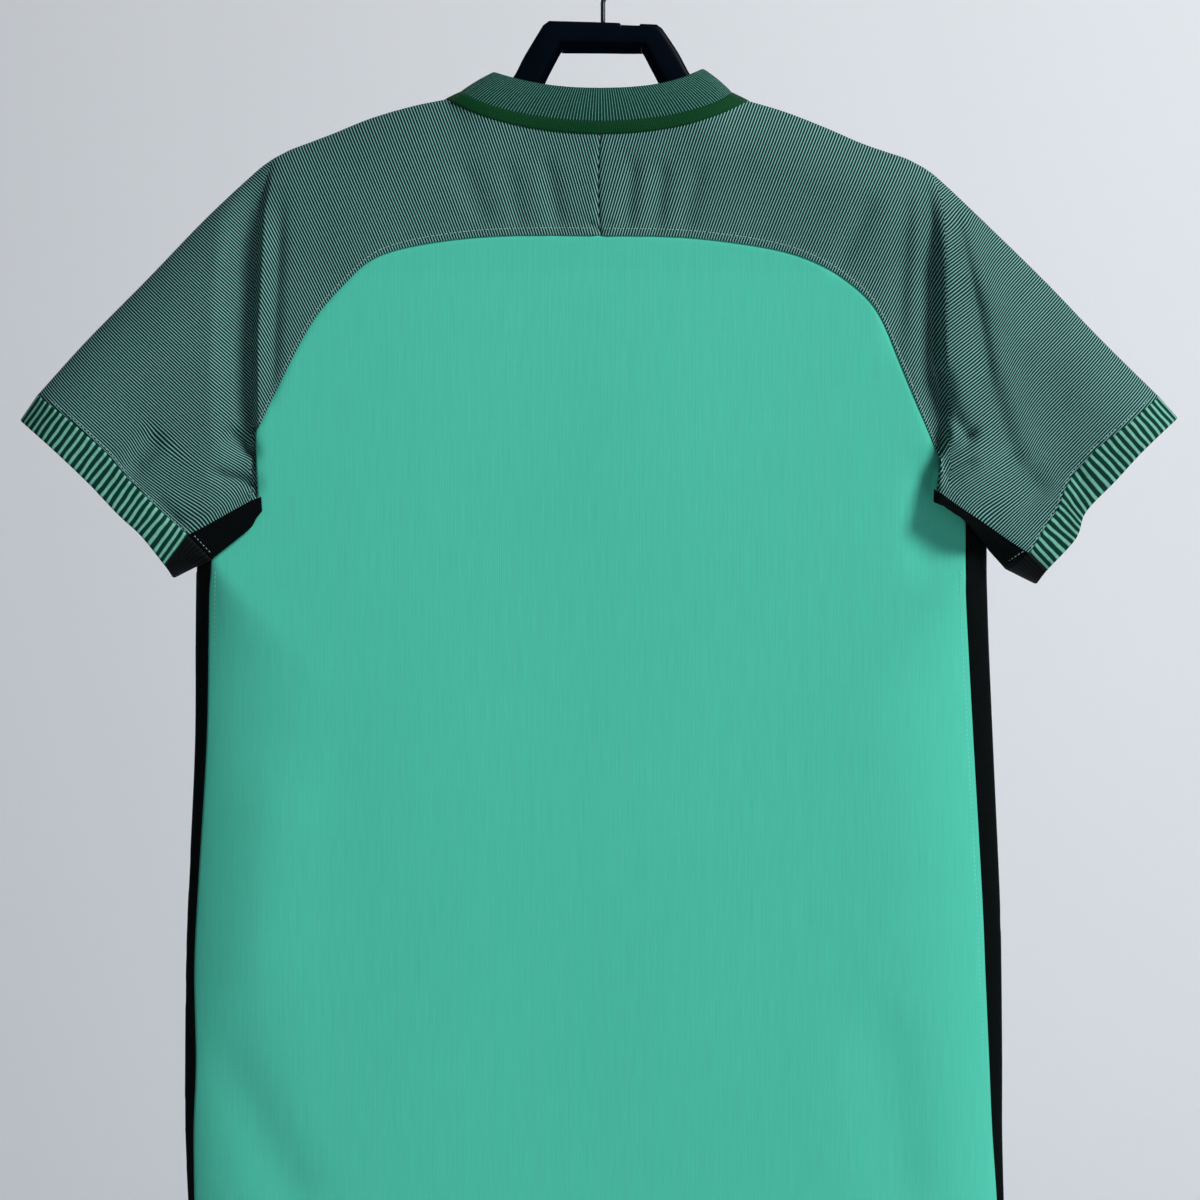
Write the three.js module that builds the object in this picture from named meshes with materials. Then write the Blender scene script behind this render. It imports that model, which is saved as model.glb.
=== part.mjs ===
// Football jersey hanging on a plastic hanger, in millimetres.
// Origin: the bearing point inside the hook's crown. +Z is up, the shown back of the
// garment faces -Y, its hidden front faces +Y, +X is the viewer's right.
// Every cloth piece is a sheet laid out in the flat (x, z), lifted by one shared
// depth field and given its wall. Index 0 of a pair is the viewer's left, 1 the right.
import * as THREE from 'three';

// ---------- driving sizes ----------
const CLOTH = 1.5; // knit wall
const RIB = 2; // collar, trim and cuff wall
const SEAM = 0.3; // clear gap between neighbouring pieces
const SHOULDER_ROUND = 40; // how far below a shoulder the tube reaches its full depth
const SIDE_ROUND = 85; // the same inwards from a side edge
const ARMPIT_ROUND = 24; // the same at the armpit and under the sleeve
const WIRE = 3.2; // hook wire
const HOOK_RADIUS = 17; // inside of the hook's crown

// half depth of the hanging tube by height
const HALF_DEPTH = [
  { below: 100, depth: 27 }, { below: 150, depth: 25 }, { below: 220, depth: 22 }, { below: 350, depth: 24 },
  { below: 600, depth: 25 }, { below: 870, depth: 22 },
];

// Stations round the yoke and down the sleeve: top is the neck seam, then the shoulder and
// sleeve ridge; seam is the back yoke and raglan seam, then the gusset seam; front is the
// raglan seam on the hidden front.
const STATION = [
  { at: 'centre back', top: [[0, -128], [0, -128]], seam: [[0, -195], [0, -195]] },
  { at: 'back neck 1', top: [[-27, -126.5], [27, -126.5]], seam: [[-37, -194.5], [37, -195]] },
  { at: 'back neck 2', top: [[-53.5, -122.5], [53.5, -122.5]], seam: [[-73.5, -195], [67, -196.5]] },
  { at: 'back neck 3', top: [[-80.5, -115], [79, -115]], seam: [[-107, -198.5], [97, -200.5]] },
  { at: 'neck point', top: [[-103, -105], [99, -106]], seam: [[-143.5, -205.5], [126, -205.5]], front: [[-83, -144.5], [83, -144.5]] },
  { at: 'shoulder 1', top: [[-127, -110], [124, -113.5]], seam: [[-159.5, -215.5], [152, -215.5]], front: [[-107, -165.5], [107, -165.5]] },
  { at: 'shoulder 2', top: [[-154, -118], [151, -124]], seam: [[-173.5, -230.5], [175.5, -232.5]], front: [[-130.5, -189], [130.5, -189]] },
  { at: 'shoulder 3', top: [[-177.5, -127.5], [174, -134]], seam: [[-188.5, -246], [187, -246]], front: [[-154, -213.5], [154, -213.5]] },
  { at: 'shoulder 4', top: [[-194.5, -134], [191, -140]], seam: [[-200.5, -266], [195.5, -266]], front: [[-174, -238], [174, -238]] },
  { at: 'hanger tip', top: [[-206.5, -138.5], [204.5, -144.5]], seam: [[-215.5, -296], [204.5, -288]], front: [[-197.5, -269], [195.5, -269]] },
  { at: 'sleeve fold', top: [[-212.5, -141.5], [212.5, -148.5]], seam: [[-230.5, -327.5], [228.5, -347]], front: [[-217.5, -306], [215, -311]], corner: true },
  { at: 'roll', top: [[-220.5, -146], [218.5, -152]], seam: [[-230, -349.5], [227, -358]], front: [[-226.5, -340], [223.5, -345]] },
  { at: 'armpit', top: [[-232.5, -155.5], [228, -159.5]], seam: [[-229, -371], [226, -366]], front: [[-229, -371], [226, -366]], corner: true },
  { at: 'sleeve 1', top: [[-264.5, -185.5], [255.5, -185.5]], seam: [[-239, -376.5], [240, -376]], front: [[-239, -376.5], [240, -376]] },
  { at: 'sleeve 2', top: [[-303.5, -226], [297, -226]], seam: [[-251, -383], [258, -388]], front: [[-251, -383], [258, -388]] },
  { at: 'sleeve 3', top: [[-343, -266], [335.5, -266]], seam: [[-263.5, -390], [274.5, -399.5]], front: [[-263.5, -390], [274.5, -399.5]] },
  { at: 'cuff seam', top: [[-376.5, -303], [374, -304]], seam: [[-276, -396.5], [288, -408]], front: [[-276, -396.5], [288, -408]] },
];
// how far the cuff seam bows towards the body, by its share from gusset seam to ridge
const CUFF_BOW = [
  [[0, 0], [0.2, -1], [0.4, 0], [0.57, 3], [0.78, 2.3], [1, 0]],
  [[0, 0], [0.13, 2.5], [0.25, 4], [0.34, 8.5], [0.43, 10.8], [0.6, 10], [0.8, 4], [1, 0]],
];
// the sleeve's folded lower edge, stations armpit to cuff seam
const UNDER = [
  { at: 'armpit', fold: [[-228.5, -380], [226, -374]] },
  { at: 'sleeve 1', fold: [[-233.5, -390.5], [235, -380]] },
  { at: 'sleeve 2', fold: [[-242.5, -398.2], [246.5, -388.5]] },
  { at: 'sleeve 3', fold: [[-250.5, -404.6], [260, -405.5]] },
  { at: 'cuff seam', fold: [[-260.5, -412.5], [272, -419]] },
];
// the cuff's open edge, by share of the way from ridge to underarm fold
const CUFF_EDGE = [
  [{ u: 0, p: [-387.5, -319] }, { u: 0.2, p: [-364, -340] }, { u: 0.41, p: [-340.5, -362.5] }, { u: 0.57, p: [-322, -382] }, { u: 0.71, p: [-306.5, -396.5] }, { u: 0.86, p: [-291, -416] }, { u: 1, p: [-285, -424.5] }],
  [{ u: 0, p: [386, -317.5] }, { u: 0.2, p: [363, -339.5] }, { u: 0.37, p: [345, -359] }, { u: 0.54, p: [325, -380] }, { u: 0.68, p: [318, -398] }, { u: 0.86, p: [299, -419] }, { u: 1, p: [291.5, -428.5] }],
];
// how far the station lines swing down the sleeve beside the roll
const ROLL_SWING = [
  { station: 10, swing: 0 }, { station: 10.5, swing: 3.5 }, { station: 11, swing: 7 }, { station: 11.5, swing: 10.5 },
  { station: 12, swing: 14 }, { station: 12.5, swing: 12 }, { station: 13, swing: 8 }, { station: 14, swing: 0 },
];
const CUFF_BLACK = 0.86; // where the striped band ends and the black one begins
// the torso's folded side edge from armpit to hem, with the black strip's seam on the back
// and its width on the front
const SIDE = [
  { at: 'armpit', edge: [[-226.5, -381.5], [224.2, -375.5]], back: [[-225, -383], [222.7, -377]], front: 3 },
  { at: 'slit 1', edge: [[-233, -393], [233.6, -382]], back: [[-231.7, -394.3], [232.4, -383.7]], front: 6 },
  { at: 'slit 2', edge: [[-241.5, -402], [244.9, -390.2]], back: [[-240.4, -403.4], [243, -392]], front: 9 },
  { at: 'slit 3', edge: [[-250, -408.5], [257.8, -407.2]], back: [[-249, -410.2], [245, -408]], front: 12 },
  { at: 'slit 4', edge: [[-259.5, -415], [264, -414]], back: [[-257.5, -417.5], [245, -418]], front: 15 },
  { at: 'shoulder of the strip', edge: [[-267, -421.5], [262, -424]], back: [[-260.5, -425], [245, -427]], front: 17 },
  { at: 'under the cuff', edge: [[-270, -434], [259, -438]], back: [[-261.5, -436], [245, -438]], front: 18 },
  { at: 'chest', edge: [[-270.5, -470], [260, -470]], back: [[-262, -470], [246.5, -470]], front: 18 },
  { at: 'upper waist', edge: [[-271, -540], [263, -540]], back: [[-263.5, -540], [250.3, -540]], front: 18 },
  { at: 'waist', edge: [[-275.5, -641], [267.5, -641]], back: [[-269.5, -641], [256, -641]], front: 18 },
  { at: 'hip 1', edge: [[-277, -690], [268.5, -690]], back: [[-271.5, -690], [258, -690]], front: 18 },
  { at: 'hip 2', edge: [[-277.5, -748], [269, -748]], back: [[-270.5, -748], [260.5, -748]], front: 18 },
  { at: 'hip 3', edge: [[-277.5, -795], [269, -795]], back: [[-272, -795], [262.5, -795]], front: 18 },
  { at: 'above the hem', edge: [[-275.5, -841], [270, -841]], back: [[-271.5, -841], [265.5, -841]], front: 18 },
  { at: 'hem', edge: [[-274.5, -866], [270.5, -866]], back: [[-271, -866], [266.5, -866]], front: 18 },
];
// neck ring from centre back (0) over the neck point (4) to centre front (8)
const NECK_FRONT = [
  { at: 4, p: [[-103, -105], [99, -106]] }, { at: 5, p: [[-83, -144.5], [83, -144.5]] }, { at: 6, p: [[-57, -169], [57, -169]] },
  { at: 7, p: [[-29, -182], [29, -182]] }, { at: 8, p: [[0, -186], [0, -186]] },
];
const COLLAR_TOP = [
  { at: 0, p: [[0, -98], [0, -98]], y: 23 }, { at: 1, p: [[-18, -97.5], [18, -97.5]], y: 22.5 }, { at: 2, p: [[-37, -95.5], [37, -95.5]], y: 20.5 },
  { at: 3, p: [[-55, -92], [54, -91.5]], y: 15.5 }, { at: 4, p: [[-72.5, -87.3], [70.3, -85.3]], y: 0 }, { at: 5, p: [[-60, -121], [59, -120]], y: -17 },
  { at: 6, p: [[-41, -145], [41, -145]], y: -23 }, { at: 7, p: [[-21, -157.5], [21, -157.5]], y: -25.5 }, { at: 8, p: [[0, -161.5], [0, -161.5]], y: -26 },
];
const TRIM_SHARE = 0.25; // the dark band's share of the collar's height
const TRIM_PINCH = [3, 5]; // how far its upper corners stand inside the line from neck point to collar top
// main folds: a valley (-) or a ridge (+) along a line on one face
const FOLDS = [
  { at: 'below left hanger tip', face: 'back', from: [-207.5, -199], to: [-211, -262], depth: -2.5, width: 8 },
  { at: 'right sleeve long fold', face: 'back', from: [254, -262], to: [311, -366], depth: -4.5, width: 13 },
  { at: 'bottom left diagonal', face: 'back', from: [-258, -741], to: [-201, -848], depth: -3.5, width: 22 },
  { at: 'left side upper', face: 'back', from: [-222, -560], to: [-238, -700], depth: 2.5, width: 26 },
  { at: 'hem right', face: 'back', from: [188, -720], to: [206, -850], depth: -3, width: 24 },
  { at: 'front chest left', face: 'front', from: [-168, -262], to: [-196, -380], depth: -4, width: 16 },
  { at: 'front chest right', face: 'front', from: [172, -270], to: [190, -392], depth: -3.5, width: 17 },
  { at: 'front hem', face: 'front', from: [-92, -700], to: [-58, -850], depth: -4, width: 28 },
  { at: 'front hem right', face: 'front', from: [128, -690], to: [150, -850], depth: 3, width: 26 },
  { at: 'front left sleeve', face: 'front', from: [-252, -258], to: [-304, -352], depth: -4, width: 14 },
];
// the sleeve hangs over the armpit in a soft roll: its line, its height and the valley above it
const ROLL = [
  { below: 145, line: [211, 211], valley: 0, rise: 0 }, { below: 165, line: [213, 210], valley: 3, rise: 0 }, { below: 205, line: [219, 208], valley: 5.5, rise: 2 },
  { below: 240, line: [224.5, 212], valley: 6, rise: 4 }, { below: 306, line: [228, 223], valley: 5, rise: 9 }, { below: 330, line: [230, 227], valley: 1, rise: 12 },
  { below: 350, line: [230, 228], valley: 0, rise: 13 }, { below: 373, line: [229, 226], valley: 0, rise: 12 }, { below: 385, line: [229, 226], valley: 0, rise: 8 },
  { below: 420, line: [229, 226], valley: 0, rise: 0 },
];
const ROLL_RISE = 13; // width of the roll's steep side
const ROLL_FADE = 70; // how far it takes to flatten down the sleeve
// the hanger from left tip to right tip: outer edge, inner edge, depth
const HANGER = [
  { at: 'left tip', outer: [-207.5, -142.7], inner: [-204, -151], depth: 9 }, { at: 'arm', outer: [-196, -137.7], inner: [-192, -149], depth: 12 },
  { at: 'arm', outer: [-177.5, -130.4], inner: [-174, -143], depth: 12 }, { at: 'arm', outer: [-154, -121], inner: [-151, -134.5], depth: 12 },
  { at: 'arm', outer: [-127, -113], inner: [-124, -127], depth: 12 }, { at: 'arm root', outer: [-103, -108.3], inner: [-101, -122], depth: 13 },
  { at: 'arm root', outer: [-84, -104], inner: [-80, -118], depth: 15 }, { at: 'arm root', outer: [-68, -99], inner: [-60, -113], depth: 18 },
  { at: 'leg foot', outer: [-58.5, -93], inner: [-42.3, -101], depth: 25 }, { at: 'leg', outer: [-50.3, -78], inner: [-34.2, -86], depth: 26 },
  { at: 'corner', outer: [-38, -57.6], inner: [-26.5, -71.6], depth: 26 }, { at: 'corner', outer: [-34, -54.7], inner: [-25, -71.3], depth: 26 },
  { at: 'bar', outer: [2, -55.7], inner: [2, -71.4], depth: 26 }, { at: 'notch', outer: [13, -56.1], inner: [12.8, -71.5], depth: 26 },
  { at: 'notch', outer: [14, -57.5], inner: [14, -71.5], depth: 26 }, { at: 'notch', outer: [26, -58], inner: [25, -71.5], depth: 26 },
  { at: 'notch', outer: [27, -56.7], inner: [26, -71.5], depth: 26 }, { at: 'corner', outer: [38, -57.2], inner: [27.6, -71.6], depth: 26 },
  { at: 'corner', outer: [41.5, -59.8], inner: [29.2, -72.2], depth: 26 }, { at: 'leg', outer: [52, -75.5], inner: [35.4, -84], depth: 26 },
  { at: 'leg foot', outer: [61, -91.5], inner: [45.2, -100.5], depth: 25 }, { at: 'arm root', outer: [70, -98.5], inner: [62, -112.5], depth: 18 },
  { at: 'arm root', outer: [85, -104.3], inner: [81, -118], depth: 15 }, { at: 'arm root', outer: [99, -109.3], inner: [97, -122.5], depth: 13 },
  { at: 'arm', outer: [124, -116.7], inner: [121, -130], depth: 12 }, { at: 'arm', outer: [151, -127.2], inner: [148, -140], depth: 12 },
  { at: 'arm', outer: [174, -137.2], inner: [171, -149], depth: 12 }, { at: 'arm', outer: [191, -143.2], inner: [187.5, -154], depth: 12 },
  { at: 'right tip', outer: [205, -148.9], inner: [201.5, -156.5], depth: 9 },
];

// ---------- small helpers ----------
const lerp = (a, b, t) => a + (b - a) * t;
const mix = (a, b, t) => a.map((v, i) => lerp(v, b[i], t));
const clamp = (v) => Math.min(1, Math.max(0, v));
const smooth = (t) => { const c = clamp(t); return c * c * (3 - 2 * c); };
const rounded = (t) => (t >= 1 ? 1 : Math.sqrt(Math.max(0, 1 - (1 - t) ** 2)));

/** Value of a column in rows ordered by key, straight between rows. */
function column(rows, key, at, value) {
  if (at <= rows[0][key]) return value(rows[0]);
  for (let i = 1; i < rows.length; i += 1) {
    if (at <= rows[i][key]) {
      const t = (at - rows[i - 1][key]) / (rows[i][key] - rows[i - 1][key]);
      return lerp(value(rows[i - 1]), value(rows[i]), t);
    }
  }
  return value(rows[rows.length - 1]);
}

/** Smooth curve through points, at index position p; stops at corners. */
function curve(points, p, corners = []) {
  const i = Math.min(points.length - 2, Math.max(0, Math.floor(p)));
  const t = p - i;
  const a = points[i];
  const b = points[i + 1];
  const before = i > 0 && !corners.includes(i) ? points[i - 1] : null;
  const after = i + 2 < points.length && !corners.includes(i + 1) ? points[i + 2] : null;
  return a.map((v, k) => {
    const m0 = before ? (b[k] - before[k]) / 2 : b[k] - a[k];
    const m1 = after ? (after[k] - a[k]) / 2 : b[k] - a[k];
    const t2 = t * t;
    const t3 = t2 * t;
    return (2 * t3 - 3 * t2 + 1) * v + (t3 - 2 * t2 + t) * m0 + (-2 * t3 + 3 * t2) * b[k] + (t3 - t2) * m1;
  });
}

const STATION_CORNERS = STATION.map((row, i) => (row.corner ? i : -1)).filter((i) => i >= 0);
const topAt = (s, p) => curve(STATION.map((r) => r.top[s]), p, [4]);
const seamAt = (s, p) => curve(STATION.map((r) => r.seam[s]), p, STATION_CORNERS);
const frontAt = (s, p) => curve(STATION.slice(4).map((r) => r.front[s]), p - 4, [8]);
const underAt = (s, p) => curve(UNDER.map((r) => r.fold[s]), p - 12);
const edgeAt = (s, q) => SIDE[q].edge[s];
const sideBack = (s, q) => SIDE[q].back[s];
function sideFront(s, q) {
  const e = SIDE[q].edge[s];
  const b = SIDE[q].back[s];
  const length = Math.hypot(b[0] - e[0], b[1] - e[1]);
  return [e[0] + ((b[0] - e[0]) / length) * SIDE[q].front, e[1] + ((b[1] - e[1]) / length) * SIDE[q].front];
}

/** A point of the station line p, from the seam (w = 0) to the top (w = 1), with the cuff's bow. */
function stationPoint(s, p, w, face) {
  const low = face === 'back' ? seamAt(s, p) : frontAt(s, p);
  const top = topAt(s, p);
  const point = mix(low, top, w);
  if (face === 'back' && p > 10 && p < 14) {
    const swing = column(ROLL_SWING, 'station', p, (r) => r.swing) * rounded(w / 0.15) * (1 - w);
    point[0] += s === 0 ? -swing : swing;
  }
  const share = clamp((p - 12) / 4) ** 1.5;
  if (share > 0) {
    const length = Math.hypot(top[0] - low[0], top[1] - low[1]);
    const bow = column(CUFF_BOW[s], 0, w, (r) => r[1]) * share;
    const towards = s === 0 ? 1 : -1;
    point[0] += (towards * Math.abs(top[1] - low[1]) * bow) / length;
    point[1] += (Math.abs(top[0] - low[0]) * bow) / length;
  }
  return point;
}

// ---------- the shared depth field ----------
const RIDGE_LINE = [0, 1].map((s) => {
  const line = [];
  for (let p = 4; p <= 16; p += 0.5) line.push(topAt(s, p));
  line.push(CUFF_EDGE[s][0].p);
  return line;
});
const LOW_LINE = [0, 1].map((s) => {
  const side = SIDE.map((r) => r.edge[s]);
  const under = [];
  for (let p = 12; p <= 16; p += 0.5) under.push(underAt(s, p));
  under.push(CUFF_EDGE[s][6].p);
  return [side, under];
});

function distanceTo(line, x, z) {
  let best = Infinity;
  for (let i = 1; i < line.length; i += 1) {
    const [ax, az] = line[i - 1];
    const dx = line[i][0] - ax;
    const dz = line[i][1] - az;
    const t = clamp(((x - ax) * dx + (z - az) * dz) / (dx * dx + dz * dz));
    best = Math.min(best, Math.hypot(x - ax - dx * t, z - az - dz * t));
  }
  return best;
}

function foldHeight(x, z, face) {
  let sum = 0;
  for (const fold of FOLDS) {
    if (fold.face === face) {
      const dx = fold.to[0] - fold.from[0];
      const dz = fold.to[1] - fold.from[1];
      const along = ((x - fold.from[0]) * dx + (z - fold.from[1]) * dz) / (dx * dx + dz * dz);
      const across = Math.abs((x - fold.from[0]) * dz - (z - fold.from[1]) * dx) / Math.hypot(dx, dz);
      const taper = smooth((along + 0.25) / 0.45) * smooth((1.25 - along) / 0.45);
      sum += fold.depth * taper * Math.exp(-((across / fold.width) ** 2));
    }
  }
  return sum;
}

function rollHeight(x, z, s) {
  const past = Math.abs(x) - column(ROLL, 'below', -z, (r) => r.line[s]);
  const valley = column(ROLL, 'below', -z, (r) => r.valley) * Math.exp(-((past / 10) ** 2));
  if (past <= 0) return -valley;
  const rise = column(ROLL, 'below', -z, (r) => r.rise);
  return rise * rounded(past / ROLL_RISE) * (1 - smooth((past - ROLL_RISE) / ROLL_FADE)) - valley;
}

/** Half depth of the garment's tube over (x, z): face back or front, with or without the roll. */
function halfDepth(x, z, face, rolled) {
  const s = x < 0 ? 0 : 1;
  const under = lerp(ARMPIT_ROUND, SIDE_ROUND, smooth((-z - 395) / 110));
  const ridge = rounded(distanceTo(RIDGE_LINE[s], x, z) / SHOULDER_ROUND);
  const low = Math.min(...LOW_LINE[s].map((line) => distanceTo(line, x, z)));
  let depth = column(HALF_DEPTH, 'below', -z, (r) => r.depth) + foldHeight(x, z, face);
  if (rolled && face === 'back') depth += rollHeight(x, z, s);
  return depth * ridge * rounded(low / under);
}

const onBack = ([x, z], rolled = false) => new THREE.Vector3(x, -halfDepth(x, z, 'back', rolled), z);
const onFront = ([x, z], rolled = false) => new THREE.Vector3(x, halfDepth(x, z, 'front', rolled), z);

// ---------- sheets and walls ----------
const GAP = SEAM / 2;
const WIDE_GAP = 0.5; // where two pieces meet at an angle

/** Points and quads of a grid; closed joins its last column to its first. */
function sheet(grid, closed = false) {
  const cols = grid[0].length;
  const points = grid.flat();
  const quads = [];
  for (let r = 0; r + 1 < grid.length; r += 1) {
    for (let c = 0; c + 1 < cols + (closed ? 1 : 0); c += 1) {
      const d = (c + 1) % cols;
      quads.push([r * cols + c, r * cols + d, (r + 1) * cols + d, (r + 1) * cols + c]);
    }
  }
  return { points, quads };
}

/** A closed wall of even thickness about a sheet, its edges drawn in by half the seam gap. */
function wall({ points: laid, quads }, thickness, gapAt = () => GAP) {
  const normals = laid.map(() => new THREE.Vector3());
  for (const quad of quads) {
    const diagonal = laid[quad[2]].clone().sub(laid[quad[0]]);
    const other = laid[quad[3]].clone().sub(laid[quad[1]]);
    const normal = diagonal.cross(other);
    for (const i of quad) normals[i].add(normal);
  }
  normals.forEach((normal) => normal.normalize());
  const directed = new Set(quads.flatMap((q) => q.map((i, k) => `${i},${q[(k + 1) % 4]}`)));
  const inwards = new Map();
  for (const edge of directed) {
    const [i, j] = edge.split(',').map(Number);
    if (!directed.has(`${j},${i}`)) {
      for (const k of [i, j]) {
        const inward = normals[k].clone().cross(laid[j].clone().sub(laid[i])).normalize();
        inwards.set(k, [...(inwards.get(k) ?? []), inward]);
      }
    }
  }
  const points = laid.map((point, i) => {
    const pair = inwards.get(i);
    if (!pair) return point;
    const mitre = pair[0].clone().add(pair[1]).divideScalar(Math.max(0.5, 1 + pair[0].dot(pair[1])));
    return point.clone().addScaledVector(mitre, gapAt(i));
  });
  const position = [];
  for (const half of [thickness / 2, -thickness / 2]) {
    points.forEach((point, i) => {
      const moved = point.clone().addScaledVector(normals[i], half);
      position.push(moved.x, moved.y, moved.z);
    });
  }
  const count = points.length;
  const index = [];
  const edges = new Map();
  for (const [a, b, c, d] of quads) {
    const short = points[a].distanceTo(points[c]) <= points[b].distanceTo(points[d]);
    const halves = short ? [[a, b, c], [a, c, d]] : [[a, b, d], [b, c, d]];
    for (const [i, j, k] of halves) {
      index.push(i, j, k, i + count, k + count, j + count);
    }
    for (const [i, j] of [[a, b], [b, c], [c, d], [d, a]]) edges.set(`${i},${j}`, [i, j]);
  }
  for (const [i, j] of edges.values()) {
    if (!edges.has(`${j},${i}`)) {
      index.push(i + count, j + count, j, i + count, j, i);
    }
  }
  return solid(position, index);
}

/** Geometry from positions and triangles, turned so that it faces out. */
function solid(position, index) {
  let volume = 0;
  const at = (i) => new THREE.Vector3().fromArray(position, i * 3);
  for (let i = 0; i < index.length; i += 3) {
    volume += at(index[i]).dot(at(index[i + 1]).cross(at(index[i + 2])));
  }
  if (volume < 0) {
    for (let i = 0; i < index.length; i += 3) [index[i], index[i + 1]] = [index[i + 1], index[i]];
  }
  const geometry = new THREE.BufferGeometry();
  geometry.setAttribute('position', new THREE.Float32BufferAttribute(position, 3));
  geometry.setIndex(index);
  geometry.computeVertexNormals();
  return geometry;
}

/** A solid through closed loops of equal length, capped at both ends. */
function loft(loops) {
  const n = loops[0].length;
  const position = loops.flat(2);
  const index = [];
  for (let i = 0; i + 1 < loops.length; i += 1) {
    for (let k = 0; k < n; k += 1) {
      const a = i * n + k;
      const b = i * n + ((k + 1) % n);
      index.push(a, b, b + n, a, b + n, a + n);
    }
  }
  const last = (loops.length - 1) * n;
  for (let k = 1; k + 1 < n; k += 1) {
    index.push(0, k + 1, k, last, last + k, last + k + 1);
  }
  return solid(position, index);
}

const root = new THREE.Group();
root.name = 'football_jersey';
const COLOURS = {
  mint: 0x46b99f, pinstripe: 0x3a665f, black_mesh: 0x0b0d10, rib: 0x2f7f68, trim_green: 0x05341c, plastic: 0x0a0d14, steel: 0x9aa0a6,
};
function part(name, material, geometry, roughness = 0.9, metalness = 0) {
  const mesh = new THREE.Mesh(geometry, new THREE.MeshStandardMaterial({ color: COLOURS[material], roughness, metalness, side: THREE.DoubleSide }));
  mesh.name = name;
  mesh.material.name = material;
  root.add(mesh);
}

const YOKE = [0, 1, 2, 3, 3.5, 4, 4.5, 5]; // station positions sampled along the yoke
const RAGLAN = [6, 7, 8, 9, 10, 10.5, 11, 11.5, 12];
const SLEEVE = [12.5, 13, 14, 15, 16];
const BACK_SHARES = [0, 0.04, 0.12, 0.25, 0.42, 0.58, 0.73, 0.85, 0.93, 0.98, 1];
const FRONT_SHARES = [0.02, 0.07, 0.15, 0.27, 0.43, 0.62, 0.82, 1];
const SIDE_NAMES = ['left', 'right'];

// ---------- sleeves with their yoke halves ----------
for (const s of [0, 1]) {
  const stations = [...YOKE, ...RAGLAN, ...SLEEVE];
  const back = BACK_SHARES.map((w) => stations.map((p) => {
    const point = onBack(stationPoint(s, p, w, 'back'), true);
    if (w === 1 && p >= 4) point.y = 0;
    return point;
  }));
  const over = stations.filter((p) => p >= 4);
  const front = FRONT_SHARES.map((w) => over.map((p) => onFront(stationPoint(s, p, 1 - w, 'front'))));
  const first = stations.indexOf(4);
  const points = [...back.flat(), ...front.flat()];
  const quads = sheet(back).quads;
  const ridge = (back.length - 1) * stations.length + first;
  const start = back.length * stations.length;
  for (let r = 0; r < front.length; r += 1) {
    for (let c = 0; c + 1 < over.length; c += 1) {
      const above = r === 0 ? ridge + c : start + (r - 1) * over.length + c;
      const below = start + r * over.length + c;
      quads.push([above, above + 1, below + 1, below]);
    }
  }
  if (s === 1) quads.forEach((quad) => quad.reverse());
  part(`sleeve_${SIDE_NAMES[s]}`, 'pinstripe', wall({ points, quads }, CLOTH));
}

// ---------- front and back panels ----------
/** Rows from a top curve down between two side curves to the hem. */
function panelGrid(top, leftLine, rightLine, lift) {
  const lengths = [0];
  for (let i = 1; i < top.length; i += 1) {
    lengths.push(lengths[i - 1] + Math.hypot(top[i][0] - top[i - 1][0], top[i][1] - top[i - 1][1]));
  }
  const total = lengths[lengths.length - 1];
  const rows = leftLine.length;
  const hem = [leftLine[rows - 1], rightLine[rows - 1]];
  return leftLine.map((left, r) => {
    const right = rightLine[r];
    const v = (left[1] + right[1] - leftLine[0][1] - rightLine[0][1]) / (hem[0][1] + hem[1][1] - leftLine[0][1] - rightLine[0][1]);
    return top.map((point, c) => {
      const u = lengths[c] / total;
      const flat = [0, 1].map((k) => (1 - v) * point[k] + v * lerp(hem[0][k], hem[1][k], u) + lerp(left[k], right[k], u)
        - (1 - v) * lerp(top[0][k], top[top.length - 1][k], u) - v * lerp(hem[0][k], hem[1][k], u));
      return lift(flat);
    });
  });
}
const ARMPIT_STEP = [[-227.6, -379.5], [225, -373.3]];
{
  const arch = [...[...YOKE].reverse().map((p) => seamAt(0, p)), ...YOKE.slice(1).map((p) => seamAt(1, p))];
  const lines = [0, 1].map((s) => [seamAt(s, 5), ...RAGLAN.map((p) => seamAt(s, p)), ARMPIT_STEP[s], ...SIDE.map((_, q) => sideBack(s, q))]);
  const grid = panelGrid(arch, lines[0], lines[1], (p) => onBack(p));
  const besideRoll = (i) => {
    const row = Math.floor(i / arch.length);
    if (row >= 5 && row < 11) return 1.5;
    return row >= 11 && row < 16 ? GAP * 2 : GAP;
  };
  part('back_panel', 'mint', wall(sheet(grid), CLOTH, besideRoll));
}
const NECK_LOW = [5, 5.5, 6, 6.5, 7, 7.5, 8];
const neckFrontAt = (s, k) => curve(NECK_FRONT.map((r) => r.p[s]), k - 4, [1]);
{
  const neck = [...NECK_LOW.map((k) => neckFrontAt(0, k)), ...[...NECK_LOW].reverse().slice(1).map((k) => neckFrontAt(1, k))];
  const lines = [0, 1].map((s) => [...[4, 4.5, 5, ...RAGLAN].map((p) => frontAt(s, p)), ARMPIT_STEP[s], ...SIDE.map((_, q) => sideFront(s, q))]);
  const grid = panelGrid(neck, lines[0], lines[1], (p) => onFront(p));
  const besideArmpit = (i) => (i >= neck.length * 9 && i < neck.length * 20 ? WIDE_GAP : GAP);
  part('front_panel', 'mint', wall(sheet(grid), CLOTH, besideArmpit));
}

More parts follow.
